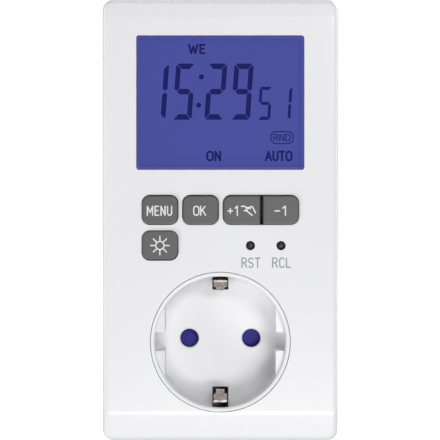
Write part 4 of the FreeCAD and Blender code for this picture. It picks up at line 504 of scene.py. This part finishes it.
GLYPHS = {
    "A": (0.62, [line((0, 0), (0.31, 1), (0.62, 0)), line((0.11, 0.33), (0.51, 0.33))]),
    "C": (0.52, [arc((0.28, 0.72), (0.26, 0.28), 25, 180) + arc((0.28, 0.28), (0.26, 0.28), 180, 335)]),
    "D": (0.54, [line((0, 0), (0, 1), (0.22, 1)) + arc((0.22, 0.68), (0.32, 0.32), 85, 0)
                 + arc((0.22, 0.32), (0.32, 0.32), 0, -90) + line((0, 0))]),
    "E": (0.42, [line((0.42, 1), (0, 1), (0, 0), (0.42, 0)), line((0, 0.52), (0.36, 0.52))]),
    "K": (0.54, [line((0, 0), (0, 1)), line((0.5, 1), (0, 0.4)), line((0.18, 0.6), (0.54, 0))]),
    "L": (0.44, [line((0, 1), (0, 0), (0.44, 0))]),
    "M": (0.64, [line((0, 0), (0, 1), (0.32, 0.3), (0.64, 1), (0.64, 0))]),
    "N": (0.48, [line((0, 0), (0, 1), (0.48, 0), (0.48, 1))]),
    "O": (0.58, [arc((0.29, 0.7), (0.29, 0.3), 0, 180) + arc((0.29, 0.3), (0.29, 0.3), 180, 360)
                 + line((0.58, 0.7))]),
    "R": (0.5, [line((0, 0), (0, 1), (0.24, 1)) + arc((0.24, 0.75), (0.26, 0.25), 80, -90)
                + line((0, 0.5)), line((0.26, 0.5), (0.52, 0))]),
    "S": (0.5, [arc((0.25, 0.75), (0.25, 0.25), 30, 270) + arc((0.25, 0.25), (0.25, 0.25), 80, -150)]),
    "T": (0.52, [line((0, 1), (0.52, 1)), line((0.26, 1), (0.26, 0))]),
    "U": (0.5, [line((0, 1), (0, 0.28)) + arc((0.25, 0.28), (0.25, 0.28), 190, 350)
                + line((0.5, 0.28), (0.5, 1))]),
    "W": (0.84, [line((0, 1), (0.21, 0), (0.42, 0.8), (0.63, 0), (0.84, 1))]),
    "1": (0.3, [line((0, 0.78), (0.24, 1), (0.24, 0))]),
    "+": (0.5, [line((0, 0.48), (0.5, 0.48)), line((0.25, 0.23), (0.25, 0.73))]),
    "-": (0.42, [line((0, 0.48), (0.42, 0.48))]),
}


def word_strokes(word, width, height, middle, gap):
    """The strokes of a word, fitted to a width and height round its middle."""
    strokes = []
    pen = 0.0
    for letter in word:
        wide, lines = GLYPHS[letter]
        strokes += [[point + Vector((pen, 0)) for point in points] for points in lines]
        pen += wide + gap
    pen -= gap
    fit = Vector((width / pen, height))
    corner = Vector(middle) - Vector((width, height)) / 2
    return [[corner + point * fit for point in points] for points in strokes]


def lettering(name, strokes, weight, rise, face, material, body):
    """A raised mark made of strokes, on a face's plane."""
    bm = bmesh.new()
    for points in strokes:
        for run in split_at_corners(points):
            add_stroke(bm, [point * MM for point in run], weight * MM, rise * MM)
    bmesh.ops.translate(bm, verts=bm.verts, vec=(0, face, 0))
    return finish_piece(name, bm, material, body)


# Key marks

MARK_WEIGHT = 0.4
MARK_RISE = 0.04
KEY_ROW = 39.05
# Each word's width and height, its middle across the front, and the gap between its letters
KEY_WORDS = {
    "menu": ("MENU", 7.2, 2.65, -18.05, 0.3),
    "confirm": ("OK", 3.5, 2.65, -6.15, 0.2),
    "plus": ("+1", 2.9, 2.75, 3.75, 0.3),
    "minus": ("-1", 3.3, 2.75, 17.85, 0.3),
}
HAND_PLACE = (8.6, KEY_ROW)
SUN_PLACE = (-17.93, 28.75)
SUN_RADIUS = 1.22
SUN_STEPS = 28
RAYS = 8
RAY_START = 1.6
RAY_END = 2.75


def sun_strokes():
    centre = Vector(SUN_PLACE)
    strokes = [[centre + point for point in arc((0, 0), (SUN_RADIUS, SUN_RADIUS), 0, 360, SUN_STEPS)]]
    for ray in range(RAYS):
        turn = 2 * math.pi * ray / RAYS
        way = Vector((math.cos(turn), math.sin(turn)))
        strokes.append([centre + way * RAY_START, centre + way * RAY_END])
    return strokes


def hand_strokes():
    """A pinching hand that points to the left, with its wrist at the lower right."""
    centre = Vector(HAND_PLACE)
    outline = [
        line(
            (-2.35, 1.25), (-1.9, 1.4), (-1.4, 1.32), (-1.0, 1.0), (-0.8, 0.45), (-0.6, -0.2),
            (0.85, -1.35),
        ),
        line((-1.5, 0.0), (-1.0, 0.05), (-0.65, -0.15)),
        line((-0.95, 0.95), (0.0, 1.0), (0.6, 1.28), (0.97, 1.14), (1.2, 0.64), (1.85, -0.65)),
        line((-0.4, 0.55), (-0.05, 0.9)),
        line((0.3, 0.6), (0.25, 0.95)),
    ]
    return [[centre + point for point in points] for points in outline]


def mark_keys(white):
    marks = {
        key: word_strokes(word, width, height, (across, KEY_ROW), gap)
        for key, (word, width, height, across, gap) in KEY_WORDS.items()
    }
    marks["plus"] += hand_strokes()
    marks["light"] = sun_strokes()
    for key, strokes in marks.items():
        lettering(
            f"{key}_key_mark", strokes, MARK_WEIGHT, MARK_RISE, KEY_FACE, white,
            f"{key}_key",
        )


# Printed labels under the two small holes

LABEL_ROW = 23.6
LABEL_WIDTH = 5.3
LABEL_HEIGHT = 2.75
LABEL_GAP = 0.26
LABEL_WEIGHT = 0.4
LABEL_RISE = 0.02
LABELS = {"reset": ("RST", 9.1), "recall": ("RCL", 18.2)}


def label_holes(grey):
    for key, (word, across) in LABELS.items():
        strokes = word_strokes(word, LABEL_WIDTH, LABEL_HEIGHT, (across, LABEL_ROW), LABEL_GAP)
        lettering(
            f"{key}_label", strokes, LABEL_WEIGHT, LABEL_RISE, FACE, grey, "root"
        )


# Window: a bevelled edge, whose crest stands out of its face

WINDOW_FLANGE = 1.6
OPENING_CORNER = 1.0
BEVEL_RISE = 0.2 * MM
# How far the bevel's foot, crest and inner edge stand inside the opening
BEVEL_FOOT = 0.12
BEVEL_CREST = (0.62, 0.74)
BEVEL_INNER = 0.8


def bevel_window(violet):
    low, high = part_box("display_window")
    middle = Vector(((low.x + high.x) / 2, (low.z + high.z) / 2)) / MM
    half = Vector((high.x - low.x, high.z - low.z)) / (2 * MM) - Vector((WINDOW_FLANGE, WINDOW_FLANGE))
    section = [
        (BEVEL_FOOT, low.y), (BEVEL_CREST[0], low.y - BEVEL_RISE),
        (BEVEL_CREST[1], low.y - BEVEL_RISE), (BEVEL_INNER, low.y),
        (BEVEL_INNER, low.y + BEVEL_RISE), (BEVEL_FOOT, low.y + BEVEL_RISE),
    ]
    bm = bmesh.new()
    loops = []
    for inset, y in section:
        outline = rounded_frame(middle, half - Vector((inset, inset)), OPENING_CORNER - inset)[:-1]
        loops.append([bm.verts.new((point.x * MM, y, point.y * MM)) for point in outline])
    for first, second in zip(loops, loops[1:] + loops[:1]):
        for i in range(len(first)):
            j = (i + 1) % len(first)
            bm.faces.new((first[i], first[j], second[j], second[i]))
    finish_piece("window_bevel", bm, violet, "root", smooth=False)


# Display: lit segments are thin plates, half sunk in the glass

SEGMENT_RISE = 0.05 * MM
LIT_SEGMENTS = {"1": "bc", "2": "abged", "5": "afgcd", "9": "abcdfg"}
# Each kind of digit: its width and height, the width of its strokes, and its middle's height
CLOCK = (5.75, 16.8, 1.45, 74.7)
SECONDS = (3.7, 9.9, 0.85, 71.2)
DIGIT_LEAN = 0.07
DIGITS = {
    "display_hours": [("1", -18.75, CLOCK), ("5", -10.9, CLOCK)],
    "display_minutes": [("2", -1.35, CLOCK), ("9", 6.55, CLOCK)],
    "display_seconds": [("5", 13.35, SECONDS), ("1", 19.4, SECONDS)],
}
COLON_DOTS = [(-5.66, 79.1), (-6.47, 70.65)]
DOT_RADIUS = 0.76
DOT_SIDES = 24
# Each legend's word, width, height, middle and letter gap, and the weight of its strokes
LEGENDS = {
    "display_day": ("WE", 4.6, 2.5, (-7.05, 87.45), 0.28, 0.62),
    "display_on": ("ON", 3.9, 2.6, (-2.0, 55.45), 0.26, 0.6),
    "display_auto": ("AUTO", 7.7, 2.6, (17.45, 55.45), 0.24, 0.6),
    "display_random": ("RND", 4.9, 1.95, (18.45, 60.95), 0.24, 0.3),
}
RANDOM_FRAME_HALF = (3.35, 1.8)
RANDOM_FRAME_CORNER = 1.5
LEGEND_RISE = 0.03


def segment_outlines(digit, middle, width, height, stroke):
    """The mitred outlines of a digit's lit segments. The size is between the outer edges."""
    wide, high = width / 2, height / 2
    # Shares of the stroke's width shape the mitres and the gaps between the segments
    gap = 0.14 * stroke
    thick = 1.14 * stroke
    nip = 0.3 * stroke
    cut = 0.6 * nip
    tip = 0.6 * stroke
    shoulder = 1.1 * stroke
    level = [
        (gap + nip - wide, high), (wide - gap - nip, high), (wide - gap - cut, high - cut),
        (wide - stroke - gap, high - thick), (stroke + gap - wide, high - thick),
        (gap + cut - wide, high - cut),
    ]
    upright = [
        (-wide, high - gap - nip), (nip - wide, high - gap - 0.8 * nip),
        (stroke - wide, high - stroke - gap), (stroke - wide, stroke / 2 + gap),
        (0.45 * stroke - wide, gap), (-wide, 0.4 * stroke + gap),
    ]
    bar = [
        (tip - wide, 0), (shoulder - wide, thick / 2), (wide - shoulder, thick / 2),
        (wide - tip, 0), (wide - shoulder, -thick / 2), (shoulder - wide, -thick / 2),
    ]
    shapes = {
        "a": (level, 1, 1), "d": (level, 1, -1), "g": (bar, 1, 1),
        "f": (upright, 1, 1), "b": (upright, -1, 1), "e": (upright, 1, -1), "c": (upright, -1, -1),
    }
    outlines = []
    for name in LIT_SEGMENTS[digit]:
        shape, across, up = shapes[name]
        outlines.append([
            Vector((across * x + DIGIT_LEAN * up * z, up * z)) + Vector(middle) for x, z in shape
        ])
    return outlines


def plate_piece(name, outlines, dark):
    """Closed plates on the glass, one for each outline."""
    bm = bmesh.new()
    for outline in outlines:
        faces = []
        for y in (GLASS_FACE - SEGMENT_RISE, GLASS_FACE + SEGMENT_RISE):
            faces.append([bm.verts.new((point.x * MM, y, point.y * MM)) for point in outline])
            bm.faces.new(faces[-1])
        for i, (low, high) in enumerate(zip(*faces)):
            j = (i + 1) % len(outline)
            bm.faces.new((low, faces[0][j], faces[1][j], high))
    finish_piece(name, bm, dark, "root", smooth=False)


def show_display(dark):
    for name, digits in DIGITS.items():
        outlines = []
        for digit, across, (width, height, stroke, row) in digits:
            outlines += segment_outlines(digit, (across, row), width, height, stroke)
        plate_piece(name, outlines, dark)
    last_turn = 360 - 360 / DOT_SIDES
    dots = [arc(middle, (DOT_RADIUS, DOT_RADIUS), 0, last_turn, DOT_SIDES - 1) for middle in COLON_DOTS]
    plate_piece("display_colon", dots, dark)
    for name, (word, width, height, middle, gap, weight) in LEGENDS.items():
        strokes = word_strokes(word, width, height, middle, gap)
        if name == "display_random":
            strokes.append(rounded_frame(middle, RANDOM_FRAME_HALF, RANDOM_FRAME_CORNER))
        lettering(name, strokes, weight, LEGEND_RISE, GLASS_FACE, dark, "root")


# Rubber domes under the keys, round and hollow, with a plunger inside

DOME_TRAVEL = 1.1
DOME_STEPS = 40
AXIS_RADIUS = 1e-7
# Profiles of (radius, depth under the head) or (radius, height over the foot)
DOME_CROWN = [(0.0, 0.0), (1.9, 0.0), (2.15, 0.12), (2.2, 0.4), (2.2, 1.2), (2.45, 1.7), (2.9, 2.3)]
DOME_SKIRT = [(3.2, 0.85), (3.35, 0.7)]
# The rim, as (distance inside the widest radius, height over the foot)
DOME_RIM = [(0.15, 0.7), (0.0, 0.55), (0.0, 0.05)]
HOLLOW_SKIRT = [(2.75, 0.05), (2.7, 0.9)]
HOLLOW_CROWN = [(2.45, 2.5), (1.9, 1.7), (1.35, 1.6), (1.2, 1.75)]
PLUNGER = [(1.2, DOME_TRAVEL + 0.1), (1.05, DOME_TRAVEL), (0.0, DOME_TRAVEL)]


def lathe(bm, profile, middle):
    """A closed profile of (radius, y) pairs, turned round an axis along Y."""
    turns = [2 * math.pi * step / DOME_STEPS for step in range(DOME_STEPS)]
    rings = []
    for radius, y in profile:
        if radius < AXIS_RADIUS:
            rings.append([bm.verts.new((middle[0], y, middle[1]))] * DOME_STEPS)
            continue
        rings.append([
            bm.verts.new((middle[0] + radius * math.cos(turn), y, middle[1] + radius * math.sin(turn)))
            for turn in turns
        ])
    for first, second in zip(rings, rings[1:] + rings[:1]):
        for i in range(DOME_STEPS):
            j = (i + 1) % DOME_STEPS
            loop = list(dict.fromkeys((first[i], first[j], second[j], second[i])))
            if len(loop) > 2:
                bm.faces.new(loop)


def dome_profile(head, foot, reach):
    """The dome's closed section, from the middle of its head to the end of its plunger."""

    def under_head(points):
        return [(radius * MM, head + depth * MM) for radius, depth in points]

    def over_foot(points):
        return [(radius * MM, foot - height * MM) for radius, height in points]

    rim = [(reach - inset * MM, foot - height * MM) for inset, height in DOME_RIM]
    outside = under_head(DOME_CROWN) + over_foot(DOME_SKIRT) + rim
    return outside + over_foot(HOLLOW_SKIRT) + under_head(HOLLOW_CROWN) + over_foot(PLUNGER)


def make_domes(silicone):
    for joint in frame["joints"]:
        if not joint["name"].endswith("_press"):
            continue
        key = joint["name"].removesuffix("_press")
        low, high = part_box(f"{key}_dome")
        middle = ((low.x + high.x) / 2, (low.z + high.z) / 2)
        head, foot = low.y, high.y
        bm = bmesh.new()
        lathe(bm, dome_profile(head, foot, (high.x - low.x) / 2), middle)
        piece = finish_piece(f"{key}_rubber_dome", bm, silicone, "root")
        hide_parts(f"{key}_dome")
        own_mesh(piece)


# Studio

STUDIO_MIDDLE = (0, -0.04, 0.035)
ROOM_LIGHT = 0.2
BACKDROP_LIGHT = 1.0
# Each panel's place, width and height, and power. The first three light the front. The others
# stand behind its plane, so they light the sides, the top and the rear.
PANELS = {
    "upper_right_panel": ((0.70, -2.49, 0.75), (0.66, 0.66), 17.4),
    "lower_right_panel": ((0.44, -2.49, -0.68), (1.36, 0.57), 27.5),
    "low_left_panel": ((-1.47, -1.25, -1.40), (0.9, 0.9), 21.0),
    "left_panel": ((-2.30, 0.35, 0.40), (1.4, 1.4), 15.0),
    "right_panel": ((2.30, 0.35, 0.40), (1.4, 1.4), 17.0),
    "top_panel": ((0.20, 0.35, 2.40), (1.4, 1.4), 13.0),
    "rear_panel": ((1.50, 1.80, 1.30), (1.0, 1.0), 38.0),
}


def light_room():
    """An even white room, which the camera sees brighter than the part does."""
    world = bpy.data.worlds.new("studio")
    world.use_nodes = True
    bpy.context.scene.world = world
    tree = world.node_tree
    back = tree.nodes["Background"]
    back.inputs["Color"].default_value = (1, 1, 1, 1)
    path = tree.nodes.new("ShaderNodeLightPath")
    level = tree.nodes.new("ShaderNodeMapRange")
    level.inputs["To Min"].default_value = ROOM_LIGHT
    level.inputs["To Max"].default_value = BACKDROP_LIGHT
    tree.links.new(path.outputs["Is Camera Ray"], level.inputs["Value"])
    tree.links.new(level.outputs["Result"], back.inputs["Strength"])


def hang_panels():
    for name, (place, size, power) in PANELS.items():
        light = bpy.data.lights.new(name, "AREA")
        light.shape = "RECTANGLE"
        light.size, light.size_y = size
        light.energy = power
        lamp = bpy.data.objects.new(name, light)
        lamp.location = place
        aim = Vector(STUDIO_MIDDLE) - Vector(place)
        lamp.rotation_euler = aim.to_track_quat("-Z", "Y").to_euler()
        bpy.context.scene.collection.objects.link(lamp)


# Floor: pale and glowing, it throws no shadow and no light on the part

FLOOR_HALF = 6.0
FLOOR_SQUARES = 24
FLOOR_GRAIN = 0.01
FLOOR_GLOW = 0.96
FLOOR_DARKER = (0.38, 0.38, 0.38)
FLOOR_LIGHTER = (0.42, 0.42, 0.42)


def lay_floor():
    bm = bmesh.new()
    bmesh.ops.create_grid(bm, x_segments=FLOOR_SQUARES, y_segments=FLOOR_SQUARES, size=FLOOR_HALF)
    bmesh.ops.translate(bm, verts=bm.verts, vec=(0, 0, cad_box[0][2]))
    mesh = bpy.data.meshes.new("floor")
    bm.to_mesh(mesh)
    bm.free()
    finish = Finish("floor_pale")
    grain = finish.noise(FLOOR_GRAIN)
    mesh.materials.append(finish.shade({
        "Base Color": finish.mix(grain, tinted(FLOOR_DARKER), tinted(FLOOR_LIGHTER)),
        "Roughness": varied(0.7, grain, spread=0.1),
        "Emission Color": (1, 1, 1, 1),
        "Emission Strength": FLOOR_GLOW,
    }))
    floor = bpy.data.objects.new("floor", mesh)
    bpy.context.scene.collection.objects.link(floor)
    floor.visible_shadow = False
    floor.visible_glossy = False
    floor.visible_diffuse = False


# The whole scene

bpy.context.scene.view_settings.view_transform = "Standard"
set_camera()
finishes = dress_nodes()
key_white = ink("key_mark_white", (0.80, 0.80, 0.81))
label_grey = ink("label_grey", (0.33, 0.33, 0.345))
# The dark segments glow faintly with painted light too
segment_dark = liquid_crystal("segment_dark", (0.004, 0.003, 0.02), painted_glow=(0.0036, 0.0041, 0.081))
mark_keys(key_white)
label_holes(label_grey)
bevel_window(ink("bevel_violet", (0.072, 0.078, 0.33), roughness=0.3))
show_display(segment_dark)
make_domes(finishes["silicone_rubber"])
light_room()
hang_panels()
lay_floor()
